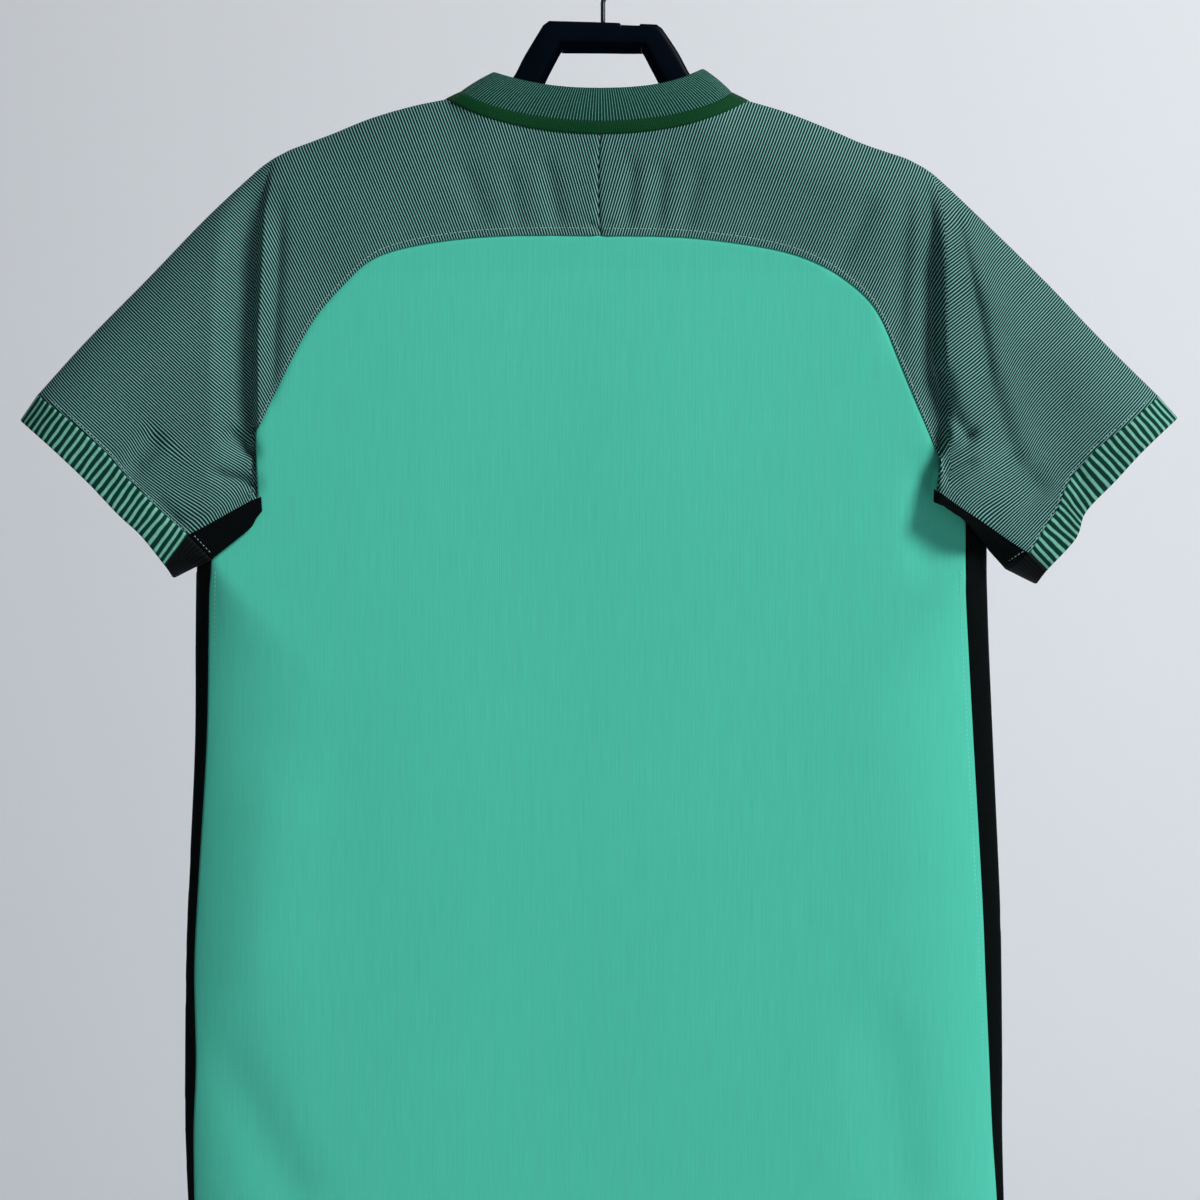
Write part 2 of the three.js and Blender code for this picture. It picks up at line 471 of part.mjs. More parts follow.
// ---------- black side strips ----------
for (const s of [0, 1]) {
  const toEdge = [0, 0.55, 0.88];
  const fromEdge = [0.04, 0.16, 0.45, 1];
  const grid = SIDE.map((_, q) => {
    const edge = edgeAt(s, q);
    return [...toEdge.map((t) => onBack(mix(sideBack(s, q), edge, t))), new THREE.Vector3(edge[0], 0, edge[1]),
      ...fromEdge.map((t) => onFront(mix(edge, sideFront(s, q), t)))];
  });
  part(`side_panel_${SIDE_NAMES[s]}`, 'black_mesh', wall(sheet(grid), CLOTH, (i) => (i < 7 * 9 ? GAP * 2 : GAP)));
}

// ---------- underarm gussets ----------
for (const s of [0, 1]) {
  const shares = [0, 0.35, 0.7, 0.92];
  const grid = [12, ...SLEEVE].map((p) => {
    const fold = underAt(s, p);
    return [...shares.map((t) => onBack(mix(seamAt(s, p), fold, t), true)), new THREE.Vector3(fold[0], 0, fold[1]),
      ...[...shares].reverse().map((t) => onFront(mix(frontAt(s, p), fold, t)))];
  });
  part(`gusset_${SIDE_NAMES[s]}`, 'black_mesh', wall(sheet(grid), CLOTH, () => WIDE_GAP));
}

// ---------- cuffs ----------
const cuffSeam = (s, u) => (u <= CUFF_BLACK ? stationPoint(s, 16, 1 - u / CUFF_BLACK, 'back') : mix(seamAt(s, 16), underAt(s, 16), (u - CUFF_BLACK) / (1 - CUFF_BLACK)));
function cuffEdge(s, u) {
  const rows = CUFF_EDGE[s];
  const i = Math.max(1, rows.findIndex((r) => r.u >= u));
  const t = (u - rows[i - 1].u) / (rows[i].u - rows[i - 1].u);
  return curve(rows.map((r) => r.p), i - 1 + t);
}
function cuffGrid(s, backShares, frontShares) {
  return [0, 0.5, 1].map((v) => {
    const place = (u) => mix(cuffSeam(s, u), cuffEdge(s, u), v);
    return [...backShares.map((u) => { const point = onBack(place(u), true); if (u === 0 || u === 1) point.y = 0; return point; }),
      ...frontShares.map((u) => onFront(place(u)))];
  });
}
for (const s of [0, 1]) {
  const shares = BACK_SHARES.map((w) => CUFF_BLACK * (1 - w)); // black end to ridge
  const down = FRONT_SHARES.map((w) => CUFF_BLACK * w);
  const band = cuffGrid(s, shares, down);
  part(`cuff_${SIDE_NAMES[s]}`, 'rib', wall(sheet(band), RIB));
  const low = [0, 0.35, 0.7, 0.92].map((t) => lerp(CUFF_BLACK, 1, t));
  const under = cuffGrid(s, [...low, 1], [...low].reverse());
  part(`cuff_under_${SIDE_NAMES[s]}`, 'black_mesh', wall(sheet(under), RIB, () => WIDE_GAP));
}

// ---------- collar ----------
/** The neck ring: seam point, collar top point at position k on side s. */
function neckPair(s, k) {
  const front = k > 4;
  const flat = front ? (k <= 5 ? stationPoint(s, 4, 1 - (k - 4), 'front') : neckFrontAt(s, k)) : topAt(s, k);
  const seam = front ? onFront(flat) : onBack(flat, true);
  if (k === 4) seam.y = 0;
  const crown = curve(COLLAR_TOP.map((r) => r.p[s]), k, [4]);
  const around = COLLAR_TOP[Math.round(k)].y;
  let depth = curve(COLLAR_TOP.map((r) => [r.y]), k, [4])[0];
  if (Math.abs(k - 4) < 1) depth = (front ? COLLAR_TOP[5].y : COLLAR_TOP[3].y) * rounded(Math.abs(k - 4) * 0.62) / rounded(0.62);
  if (around === 0 && k === 4) depth = 0;
  const pinch = (s === 0 ? 1 : -1) * TRIM_PINCH[s] * Math.max(0, 1 - Math.abs(k - 4)) ** 2;
  return [seam, new THREE.Vector3(crown[0], -depth, crown[1]), pinch];
}
{
  const half = [...YOKE.filter((p) => p <= 4), ...FRONT_SHARES.map((w) => 4 + w), ...NECK_LOW.slice(1)];
  const ring = [...half.map((k) => [0, k]), ...[...half].reverse().slice(1, -1).map((k) => [1, k])];
  const pairs = ring.map(([s, k]) => neckPair(s, k));
  const bulge = (v) => 2.2 * 4 * v * (1 - v);
  const rowAt = (v) => pairs.map(([seam, crown, pinch]) => {
    const point = seam.clone().lerp(crown, v);
    point.x += pinch * Math.min(v / TRIM_SHARE, (1 - v) / (1 - TRIM_SHARE));
    const out = new THREE.Vector3(point.x * 0.25, point.y, 0);
    if (out.length() > 0.01) point.add(out.normalize().multiplyScalar(bulge(v)));
    return point;
  });
  part('collar_trim', 'trim_green', wall(sheet([0, TRIM_SHARE / 2, TRIM_SHARE].map(rowAt), true), RIB, () => WIDE_GAP));
  part('collar', 'rib', wall(sheet([TRIM_SHARE, 0.53, 0.77, 1].map(rowAt), true), RIB, (i) => (i < pairs.length ? 0.25 : GAP)));
}

// ---------- hanger and hook ----------
{
  const chamfer = 2;
  const loops = HANGER.map((row) => {
    const length = Math.hypot(row.inner[0] - row.outer[0], row.inner[1] - row.outer[1]);
    const h = row.depth / 2;
    const corners = [[0, chamfer - h], [0, h - chamfer], [chamfer, h], [length - chamfer, h], [length, h - chamfer], [length, chamfer - h], [length - chamfer, -h], [chamfer, -h]];
    return corners.map(([a, y]) => { const [x, z] = mix(row.outer, row.inner, a / length); return [x, y, z]; });
  });
  part('hanger', 'plastic', loft(loops), 0.45);

  const radius = HOOK_RADIUS + WIRE / 2;
  const path = [[2, -55.3], [2, -46], [2, -40], [2.5, -37.9], [4.2, -36], [7, -34.3]];
  for (let a = -55; a <= 200; a += 15) {
    path.push([radius * Math.cos((a * Math.PI) / 180), -HOOK_RADIUS + radius * Math.sin((a * Math.PI) / 180)]);
  }
  const loopsOfWire = path.map((point, i) => {
    const from = path[Math.max(0, i - 1)];
    const to = path[Math.min(path.length - 1, i + 1)];
    const length = Math.hypot(to[0] - from[0], to[1] - from[1]);
    const side = [(to[1] - from[1]) / length, -(to[0] - from[0]) / length];
    return Array.from({ length: 10 }, (_, k) => {
      const a = (k * Math.PI) / 5;
      return [point[0] + side[0] * Math.cos(a) * (WIRE / 2), Math.sin(a) * (WIRE / 2), point[1] + side[1] * Math.cos(a) * (WIRE / 2)];
    });
  });
  part('hook', 'steel', loft(loopsOfWire), 0.3, 1);
}

export default root;
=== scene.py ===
"""Football jersey hanging on a plastic hanger: its cloth, ribs, stitching, hanger and stage.

Shapes are laid out in millimetres as on the cutting table (x across, z up), lifted by one depth
field of the hanging tube, and put into the scene in metres. Side 0 is the viewer's left, 1 the right.
"""
import math
import bmesh
import bpy
import numpy as np
from bpy.props import FloatProperty, FloatVectorProperty, PointerProperty
from mathutils import Matrix, Vector


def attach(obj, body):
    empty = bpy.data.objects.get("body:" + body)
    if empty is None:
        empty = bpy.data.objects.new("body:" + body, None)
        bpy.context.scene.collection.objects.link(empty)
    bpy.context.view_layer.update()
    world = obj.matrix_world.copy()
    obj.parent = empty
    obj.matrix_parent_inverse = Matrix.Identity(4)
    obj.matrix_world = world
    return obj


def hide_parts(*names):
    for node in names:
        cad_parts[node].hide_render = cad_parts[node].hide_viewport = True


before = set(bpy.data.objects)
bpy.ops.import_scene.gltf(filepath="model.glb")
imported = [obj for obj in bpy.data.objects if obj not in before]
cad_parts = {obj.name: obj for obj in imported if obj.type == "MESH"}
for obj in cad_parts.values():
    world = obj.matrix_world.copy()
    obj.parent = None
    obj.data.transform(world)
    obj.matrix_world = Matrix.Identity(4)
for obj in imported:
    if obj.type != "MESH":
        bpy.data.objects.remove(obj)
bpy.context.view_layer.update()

bl_info = {
    "name": "Football Jersey on a Hanger",
    "version": (1, 0, 0),
    "blender": (4, 5, 0),
    "location": "View3D > Sidebar > Jersey",
    "description": "Builds a raglan football jersey on a plastic hanger",
    "category": "Add Mesh",
}

MM = 0.001
SIDES = ("left", "right")
OUTWARD = (-1.0, 1.0)  # the way out across for each side
TOWARDS = {"back": (0, -1, 0), "front": (0, 1, 0)}
CAMERA_DISTANCE = 1300.0
CAMERA_HEIGHT = -440.0

# ---------- the cut, in millimetres ----------
# stations round the yoke and down the sleeve: 0 centre back, 4 neck point, 10 sleeve fold,
# 12 armpit, 16 cuff seam
TOP = (
    [(0, -128), (-27, -126.5), (-53.5, -122.5), (-80.5, -115), (-103, -105), (-127, -110), (-154, -118),
     (-177.5, -127.5), (-194.5, -134), (-206.5, -138.5), (-212.5, -141.5), (-220.5, -146),
     (-232.5, -155.5), (-264.5, -185.5), (-303.5, -226), (-343, -266), (-376.5, -303)],
    [(0, -128), (27, -126.5), (53.5, -122.5), (79, -115), (99, -106), (124, -113.5), (151, -124),
     (174, -134), (191, -140), (204.5, -144.5), (212.5, -148.5), (218.5, -152), (228, -159.5),
     (255.5, -185.5), (297, -226), (335.5, -266), (374, -304)],
)
SEAM = (
    [(0, -195), (-37, -194.5), (-73.5, -195), (-107, -198.5), (-143.5, -205.5), (-159.5, -215.5),
     (-173.5, -230.5), (-188.5, -246), (-200.5, -266), (-215.5, -296), (-230.5, -327.5), (-230, -349.5),
     (-229, -371), (-239, -376.5), (-251, -383), (-263.5, -390), (-276, -396.5)],
    [(0, -195), (37, -195), (67, -196.5), (97, -200.5), (126, -205.5), (152, -215.5), (175.5, -232.5),
     (187, -246), (195.5, -266), (204.5, -288), (228.5, -347), (227, -358), (226, -366), (240, -376),
     (258, -388), (274.5, -399.5), (288, -408)],
)
FRONT_SEAM = (  # stations 4 to 16
    [(-83, -144.5), (-107, -165.5), (-130.5, -189), (-154, -213.5), (-174, -238), (-197.5, -269),
     (-217.5, -306), (-226.5, -340), (-229, -371), (-239, -376.5), (-251, -383), (-263.5, -390),
     (-276, -396.5)],
    [(83, -144.5), (107, -165.5), (130.5, -189), (154, -213.5), (174, -238), (195.5, -269), (215, -311),
     (223.5, -345), (226, -366), (240, -376), (258, -388), (274.5, -399.5), (288, -408)],
)
UNDERARM = (  # the sleeve's folded lower edge, stations 12 to 16
    [(-228.5, -380), (-233.5, -390.5), (-242.5, -398.2), (-250.5, -404.6), (-260.5, -412.5)],
    [(226, -374), (235, -380), (246.5, -388.5), (260, -405.5), (272, -419)],
)
CUFF_BOW = (
    [(0, 0), (0.2, -1), (0.4, 0), (0.57, 3), (0.78, 2.3), (1, 0)],
    [(0, 0), (0.13, 2.5), (0.25, 4), (0.34, 8.5), (0.43, 10.8), (0.6, 10), (0.8, 4), (1, 0)],
)
CUFF_EDGE = (  # (share from ridge to underarm, x, z)
    [(0, -387.5, -319), (0.2, -364, -340), (0.41, -340.5, -362.5), (0.57, -322, -382),
     (0.71, -306.5, -396.5), (0.86, -291, -416), (1, -285, -424.5)],
    [(0, 386, -317.5), (0.2, 363, -339.5), (0.37, 345, -359), (0.54, 325, -380), (0.68, 318, -398),
     (0.86, 299, -419), (1, 291.5, -428.5)],
)
CUFF_BLACK = 0.86
ROLL_SWING = [(10, 0), (10.5, 3.5), (11, 7), (11.5, 10.5), (12, 14), (12.5, 12), (13, 8), (14, 0)]
SIDE_EDGE = (  # the torso's folded side edge; its upper end is tucked behind the gusset
    [(-234, -372), (-240.5, -383), (-249, -391.5), (-258, -399), (-267, -405), (-269.6, -414),
     (-270.2, -434), (-270.5, -470), (-271, -540), (-275.5, -641), (-277, -690), (-277.5, -748),
     (-277.5, -795), (-275.5, -841), (-274.5, -866)],
    [(232.4, -366.7), (242, -374), (252, -383), (258.3, -395), (258.6, -408), (258.6, -422), (259, -438),
     (260, -470), (263, -540), (267.5, -641), (268.5, -690), (269, -748), (269, -795), (270, -841),
     (270.5, -866)],
)
SIDE_SEAM = (
    [(-231.5, -382), (-237, -388.5), (-245, -396), (-253, -402.5), (-259.5, -411), (-260.5, -423),
     (-261.5, -436), (-262, -470), (-263.5, -540), (-269.5, -641), (-271.5, -690), (-270.5, -748),
     (-272, -795), (-271.5, -841), (-271, -866)],
    [(229, -371.5), (237.5, -377.5), (244.2, -384.5), (245, -398), (245, -411), (245, -425), (245, -438),
     (246.5, -470), (250.3, -540), (256, -641), (258, -690), (260.5, -748), (262.5, -795), (265.5, -841),
     (266.5, -866)],
)
SIDE_FRONT_WIDTH = [6, 8, 10, 13, 15, 17, 18, 18, 18, 18, 18, 18, 18, 18, 18]
ARMPIT_STEP = ((-230.5, -377), (227.5, -369))
NECK_FRONT = (  # stations 4 neck point to 8 centre front
    [(-103, -105), (-83, -144.5), (-57, -169), (-29, -182), (0, -186)],
    [(99, -106), (83, -144.5), (57, -169), (29, -182), (0, -186)],
)
COLLAR_TOP = (
    [(0, -98), (-18, -97.5), (-37, -95.5), (-55, -92), (-72.5, -87.3), (-60, -121), (-41, -145),
     (-21, -157.5), (0, -161.5)],
    [(0, -98), (18, -97.5), (37, -95.5), (54, -91.5), (70.3, -85.3), (59, -120), (41, -145), (21, -157.5),
     (0, -161.5)],
)
COLLAR_DEPTH = [23, 22.5, 20.5, 15.5, 0, -17, -23, -25.5, -26]
TRIM_SHARE = 0.25
TRIM_PINCH = (3, 5)  # how far the trim's upper corners stand inside the line from neck point to collar top
HALF_DEPTH = [(100, 27), (150, 25), (220, 22), (350, 24), (600, 25), (870, 22)]
SHOULDER_ROUND, SIDE_ROUND, ARMPIT_ROUND, TUCK_ROUND = 40, 85, 24, 7
# the valley between torso and sleeve on the back: (below, line x left, right)
VALLEY_LINE = [(145, 216, 213), (154, 220, 215.5), (167, 223, 219), (183, 226, 221), (222, 228, 221.5),
               (261, 230.3, 221.5), (285, 230.3, 222.5), (306, 230.3, 225), (328, 230, 227),
               (350, 229.8, 228), (377, 229.5, 226), (420, 229, 226)]
# how deep the left sleeve dives beside the torso, and how far the right one rolls over it
LEFT_DIVE = [(142, 0), (152, 5), (170, 10), (200, 13), (260, 14.5), (306, 14), (325, 11), (340, 6),
             (355, 3.5), (370, 2.5), (384, 0)]
LEFT_RISE = [(366, 0), (380, 3), (415, 4), (440, 0)]
RIGHT_DIP = [(150, 0), (165, 3), (205, 5), (240, 5), (306, 5), (330, 3), (350, 1), (420, 0)]
RIGHT_RISE = [(150, 0), (165, 4), (186, 7.5), (240, 9), (306, 11), (330, 13), (350, 15), (373, 16),
              (395, 14), (440, 4)]
# soft folds laid one by one: face, from, to, height, width before and after the line
FOLDS = [
    ("back", (-214.5, -185), (-219.5, -292), -3.8, 4.5, 7),
    ("back", (206.4, -164), (200, -262), -3.2, 6, 9),
    ("back", (181, -172), (160, -216), -2.2, 7, 8),
    ("back", (237.5, -176), (251.3, -236), -3.4, 3.5, 11),
    ("back", (251.3, -236), (260.5, -290), -4.6, 5, 13),
    ("back", (259.5, -292), (275.5, -345), -5.2, 8, 16),
    ("back", (275.5, -345), (296, -370), -4.2, 9, 14),
    ("back", (22, -146), (18, -188), -3.0, 5, 6),
    ("back", (42, -150), (38, -190), -2.6, 5, 7),
    ("back", (66, -150), (57, -190), -2.0, 6, 7),
    ("back", (-36, -148), (-28, -190), -2.4, 6, 6),
    ("back", (-62, -150), (-53, -190), -1.6, 6, 7),
    ("back", (-92, -150), (-78, -186), -2.0, 8, 8),
    ("back", (-6.5, -186.5), (-0.5, -194), -2.0, 1.8, 2.4),
    ("back", (7, -186), (0.5, -194), -1.6, 2.4, 1.8),
    ("back", (-250, -327), (-230, -342), -6.0, 4, 5),
    ("back", (-258, -356), (-229, -362), -4.6, 4, 5),
    ("back", (-276, -388), (-236, -369), -2.0, 3, 4),
    ("back", (-297, -372), (-280, -392), -2.4, 5, 6),
    ("back", (-295, -331), (-314, -353), -3.4, 5.5, 6.5),
    ("back", (228, -288), (235, -316), -6.5, 7, 5),
    ("back", (236, -318), (248, -333), -5.5, 7, 4),
    ("back", (227, -349), (252, -328), -4.6, 3.5, 5),
    ("back", (229.5, -359), (250, -347), -3.8, 3, 4.5),
    ("back", (318, -352), (325, -366), -2.0, 6, 7),
    ("back", (-258, -741), (-201, -848), -3.5, 20, 24),
    ("back", (-222, -560), (-238, -700), 2.5, 26, 26),
    ("back", (188, -720), (206, -850), -3, 22, 26),
    ("front", (-168, -262), (-196, -380), -4, 16, 16),
    ("front", (172, -270), (190, -392), -3.5, 17, 17),
    ("front", (-92, -700), (-58, -850), -4, 28, 28),
    ("front", (128, -690), (150, -850), 3, 26, 26),
    ("front", (-252, -258), (-304, -352), -4, 14, 14),
]
# how the sleeves' stripes are drawn aside by those folds: side, from, to, shift, widths
PULLS = [
    (0, (-293, -332), (-312, -356), 3.4, 28, 8),
    (0, (-262, -388), (-222, -345), -5.0, 20, 12),
    (0, (-246, -330), (-232, -340), 2.0, 6, 9),
    (1, (240, -190), (251.3, -236), 3.0, 10, 20),
    (1, (251.3, -236), (260.5, -290), 4.2, 12, 26),
    (1, (260.5, -290), (275.5, -345), 4.8, 13, 28),
    (1, (275.5, -345), (294, -368), 3.4, 10, 22),
    (1, (250, -388), (212, -350), -4.5, 12, 20),
]
HANGER = [  # outer edge, inner edge, depth
    ((-207.5, -142.7), (-204, -151), 9), ((-196, -137.7), (-192, -149), 12), ((-177.5, -130.4), (-174, -143), 12),
    ((-154, -121), (-151, -134.5), 12), ((-127, -113), (-124, -127), 12), ((-103, -108.3), (-101, -122), 13),
    ((-84, -104), (-80, -118), 15), ((-68, -99), (-60, -113), 18), ((-58.5, -93), (-42.3, -101), 25),
    ((-50.3, -78), (-34.2, -86), 26), ((-38, -57.6), (-26.5, -71.6), 26), ((-34, -54.7), (-25, -71.3), 26),
    ((2, -55.7), (2, -71.4), 26), ((13, -56.1), (12.8, -71.5), 26), ((14, -57.5), (14, -71.5), 26),
    ((26, -58), (25, -71.5), 26), ((27, -56.7), (26, -71.5), 26), ((38, -57.2), (27.6, -71.6), 26),
    ((41.5, -59.8), (29.2, -72.2), 26), ((52, -75.5), (35.4, -84), 26), ((61, -91.5), (45.2, -100.5), 25),
    ((70, -98.5), (62, -112.5), 18), ((85, -104.3), (81, -118), 15), ((99, -109.3), (97, -122.5), 13),
    ((124, -116.7), (121, -130), 12), ((151, -127.2), (148, -140), 12), ((174, -137.2), (171, -149), 12),
    ((191, -143.2), (187.5, -154), 12), ((205, -148.9), (201.5, -156.5), 9),
]
# the handle's middle and reach pick the inner faces that get the plastic's copy without reflections: painted
# shade
HANDLE_MIDDLE, HANDLE_REACH = (1.5, 0, -90), 52
HANDLE_CORNERS_OUT, HANDLE_CORNERS_IN = [10, 11, 13, 14, 15, 16, 17, 18], [11, 12, 13, 14, 15, 16, 17]
HOOK_RADIUS, WIRE = 17.0, 3.2
HOOK_STEM = [(2, -55.3), (2, -51), (2, -46), (2, -43), (2, -40), (2.5, -37.9), (4.2, -36), (7, -34.3)]

NECK_POINT, SLEEVE_FOLD, ARMPIT, CUFF = 4, 10, 12, 16  # stations
LAST_SIDE = 14
SIDE_STATIONS = np.arange(0, LAST_SIDE + 0.01, 0.1)  # down the torso's side
HEM, HEM_DEPTH, HEM_STITCHES = -866.0, 20, (19.0, 15.5)
RIB_FOLD = 0.9  # half the doubled rib's distance between its layers
COLLAR_FOLD = 1.0
BAND_ROWS = 12
LEAN_BASE = 24.0  # how far back the sleeve's lower edge leans at the armpit
LEAN_FROM, LEAN_OVER = (46, 22), (24, 55)  # where the lean fades for each side, from the armpit on
STRIPE_ANGLE = (43.0, 45.0)  # of the sleeves' stripes, in degrees
YOKE_CENTRE, YOKE_RADIUS = (-301.0, -1211.0), 1060.0  # each half's stripes fan out from beyond the middle
STITCH, STITCH_GAP, STITCH_WIDTH = 2.2, 0.8, 0.5
PICTURE_WIDTH = 804.0  # what the camera sees across at the jersey


# ---------- small helpers ----------
def smooth(t):
    """Eased step from 0 to 1."""
    t = np.clip(t, 0.0, 1.0)
    return t * t * (3 - 2 * t)


def rounded(t):
    """Quarter circle from 0 to 1."""
    t = np.clip(t, 0.0, 1.0)
    return np.sqrt(np.maximum(0.0, 1 - (1 - t) ** 2))


def bell(distance, width):
    """Bell curve across a line: 1 on it, fading to both sides."""
    return np.exp(-((distance / width) ** 2))


def lerp(a, b, t):
    return a + (b - a) * t


def mix(a, b, t):
    """Blend of two rows of points by a share per row."""
    return a + (b - a) * np.asarray(t, float)[..., None]


def unit(vectors):
    """The vectors at a length of one."""
    return vectors / np.maximum(np.linalg.norm(vectors, axis=-1, keepdims=True), 1e-9)


def steps(points):
    """Distance from each point of a line to its next."""
    return np.linalg.norm(np.diff(points, axis=0), axis=-1)


def added_up(lengths):
    """Running total that starts at nought."""
    return np.concatenate([[0], np.cumsum(lengths)])


def column(rows, at, k=1):
    """Value of a table's column, straight between its rows."""
    table = np.asarray(rows, float)
    return np.interp(at, table[:, 0], table[:, k])


def curve(points, at, corners=()):
    """Smooth curve through points at index positions; it breaks at corners."""
    points = np.asarray(points, float)
    at = np.asarray(at, float)
    i = np.clip(np.floor(at).astype(int), 0, len(points) - 2)
    t = (at - i)[..., None]
    a, b = points[i], points[i + 1]
    sharp = np.zeros(len(points), bool)
    sharp[list(corners)] = True
    before = ((i > 0) & ~sharp[i])[..., None]
    after = ((i + 2 < len(points)) & ~sharp[i + 1])[..., None]
    m0 = np.where(before, (b - points[np.maximum(i - 1, 0)]) / 2, b - a)
    m1 = np.where(after, (points[np.minimum(i + 2, len(points) - 1)] - a) / 2, b - a)
    t2, t3 = t * t, t * t * t
    return (2 * t3 - 3 * t2 + 1) * a + (t3 - 2 * t2 + t) * m0 + (3 * t2 - 2 * t3) * b + (t3 - t2) * m1


def top_at(s, p):
    """The shoulder line and the sleeve's ridge."""
    return curve(TOP[s], p, [NECK_POINT])


def eased_seam(s):
    """The yoke and raglan seam with its listed points eased into one sweep."""
    stations = np.arange(0, 16.001, 0.05)
    reach, width = 30, 10.0  # of the easing, in steps of the line
    line = curve(SEAM[s], stations, [SLEEVE_FOLD, ARMPIT])
    mirrored = line[1:2 * reach + 1][::-1] * (-1, 1)
    long = np.vstack([mirrored, line])
    spread_over = np.arange(-reach, reach + 1)
    weight = np.exp(-((spread_over / width) ** 2) / 2)
    weight /= weight.sum()
    soft = [np.convolve(long[:, k], weight, mode="same") for k in (0, 1)]
    soft = np.stack(soft, axis=1)[2 * reach:]
    share = smooth(9.6 - stations)[:, None]
    return stations, line + (soft - line) * share


EASED = [eased_seam(s) for s in (0, 1)]


def seam_at(s, p):
    """The yoke and raglan seam on the back."""
    stations, line = EASED[s]
    return np.stack([np.interp(p, stations, line[:, k]) for k in (0, 1)], axis=-1)


def front_at(s, p):
    """The raglan seam on the front."""
    return curve(FRONT_SEAM[s], np.asarray(p, float) - NECK_POINT, [ARMPIT - NECK_POINT])


def under_at(s, p):
    """The sleeve's folded lower edge."""
    return curve(UNDERARM[s], np.asarray(p, float) - ARMPIT)


def side_edge(s, q):
    """The torso's folded side."""
    return curve(SIDE_EDGE[s], q)


def side_seam(s, q):
    """The seam between back panel and side strip."""
    return curve(SIDE_SEAM[s], q)


def side_front(s, q):
    """The seam between side strip and front panel."""
    edge = side_edge(s, q)
    width = np.interp(q, range(len(SIDE_FRONT_WIDTH)), SIDE_FRONT_WIDTH)
    return edge + unit(side_seam(s, q) - edge) * width[..., None]


def station_point(s, p, w, face):
    """A point of station line p, from the seam (w = 0) to the ridge (w = 1)."""
    low = seam_at(s, p) if face == "back" else front_at(s, p)
    top = top_at(s, p)
    point = mix(low, top, w)
    if face == "back":
        point[..., 0] += OUTWARD[s] * column(ROLL_SWING, p) * rounded(w / 0.15) * (1 - w)
    share = np.clip((np.asarray(p, float) - ARMPIT) / (CUFF - ARMPIT), 0, 1) ** 1.5
    bow = column(CUFF_BOW[s], w) * share / np.linalg.norm(top - low, axis=-1)
    point[..., 0] -= OUTWARD[s] * np.abs(top[..., 1] - low[..., 1]) * bow
    point[..., 1] += np.abs(top[..., 0] - low[..., 0]) * bow
    return point


def distance_to(line, x, z):
    """Shortest distance from flat points to a line."""
    best = np.full(np.shape(x), 1e9)
    for (ax, az), (bx, bz) in zip(line[:-1], line[1:]):
        dx, dz = bx - ax, bz - az
        t = np.clip(((x - ax) * dx + (z - az) * dz) / (dx * dx + dz * dz), 0, 1)
        best = np.minimum(best, np.hypot(x - ax - dx * t, z - az - dz * t))
    return best


RIDGE = [np.vstack([top_at(s, np.arange(4, 16.1, 0.25)), [CUFF_EDGE[s][0][1:]]]) for s in (0, 1)]
UNDERARM_LINE = [np.vstack([under_at(s, np.arange(12, 16.1, 0.5)), [CUFF_EDGE[s][-1][1:]]]) for s in (0, 1)]
SIDE_LINE = [side_edge(s, np.arange(0, 14.1, 0.5)) for s in (0, 1)]
BACK_SEAM = [seam_at(s, np.arange(0, 12.01, 0.25)) for s in (0, 1)]


# ---------- the depth of the hanging tube ----------
def ridges(table, kind, x, z):
    """Sum of soft ridges and troughs along the table's lines of one kind."""
    total = np.zeros(np.shape(x))
    for its_kind, start, end, height, before, after in table:
        if its_kind != kind:
            continue
        dx, dz = end[0] - start[0], end[1] - start[1]
        along = ((x - start[0]) * dx + (z - start[1]) * dz) / (dx * dx + dz * dz)
        across = ((x - start[0]) * dz - (z - start[1]) * dx) / math.hypot(dx, dz)
        taper = smooth((along + 0.25) / 0.45) * smooth((1.25 - along) / 0.45)
        width = np.where(across < 0, before, after)
        total += height * taper * bell(across, width)
    return total


def unevenness(x, z):
    """The slight waviness of hanging knit, about half a millimetre."""
    return (
        0.45 * np.sin(x / 41.0 + z / 97.0 + 0.7) * np.sin(z / 118.0 - x / 160.0 + 1.9)
        + 0.3 * np.sin(x / 23.0 - z / 71.0 + 2.1) * np.sin(z / 64.0 + 0.4)
    )


def valley_height(x, z, s, on_sleeve):
    """How the cloth dives beside the armpit on the left and rolls over it on the right."""
    below = -z
    past = np.abs(x) - column(VALLEY_LINE, below, 1 + s)
    if s == 0:
        tip, wall_width, fade_from, fade_over = 322, 4.5, 8.0, 24.0
        dive = column(LEFT_DIVE, below)
        if not on_sleeve:
            return -0.12 * dive * (1 - rounded(-past / 8.0))
        wall = smooth((past + 1.5 + 9.0 * smooth((below - tip) / 10)) / wall_width)
        return column(LEFT_RISE, below) - dive * wall * (1 - smooth((past - fade_from) / fade_over))
    inner, outer = 8.0, 6.0  # the hollow's width on the torso and on the sleeve
    hollow = -column(RIGHT_DIP, below) * bell(past, np.where(past < 0, inner, outer))
    if not on_sleeve:
        pressed = smooth((below - 335) / 25) * (1 - smooth((below - 400) / 40))
        return hollow * 0.8 - 3.0 * smooth((past + 30) / 25) * pressed
    gentle, tight = 12.0, 4.0  # the roll's width above the armpit and at it
    steep = smooth((below - 328) / 18)
    ramp = smooth((past + 3.0 * steep) / lerp(gentle, tight, steep))
    return hollow + column(RIGHT_RISE, below) * ramp * (1 - smooth((past - 14) / 75.0))


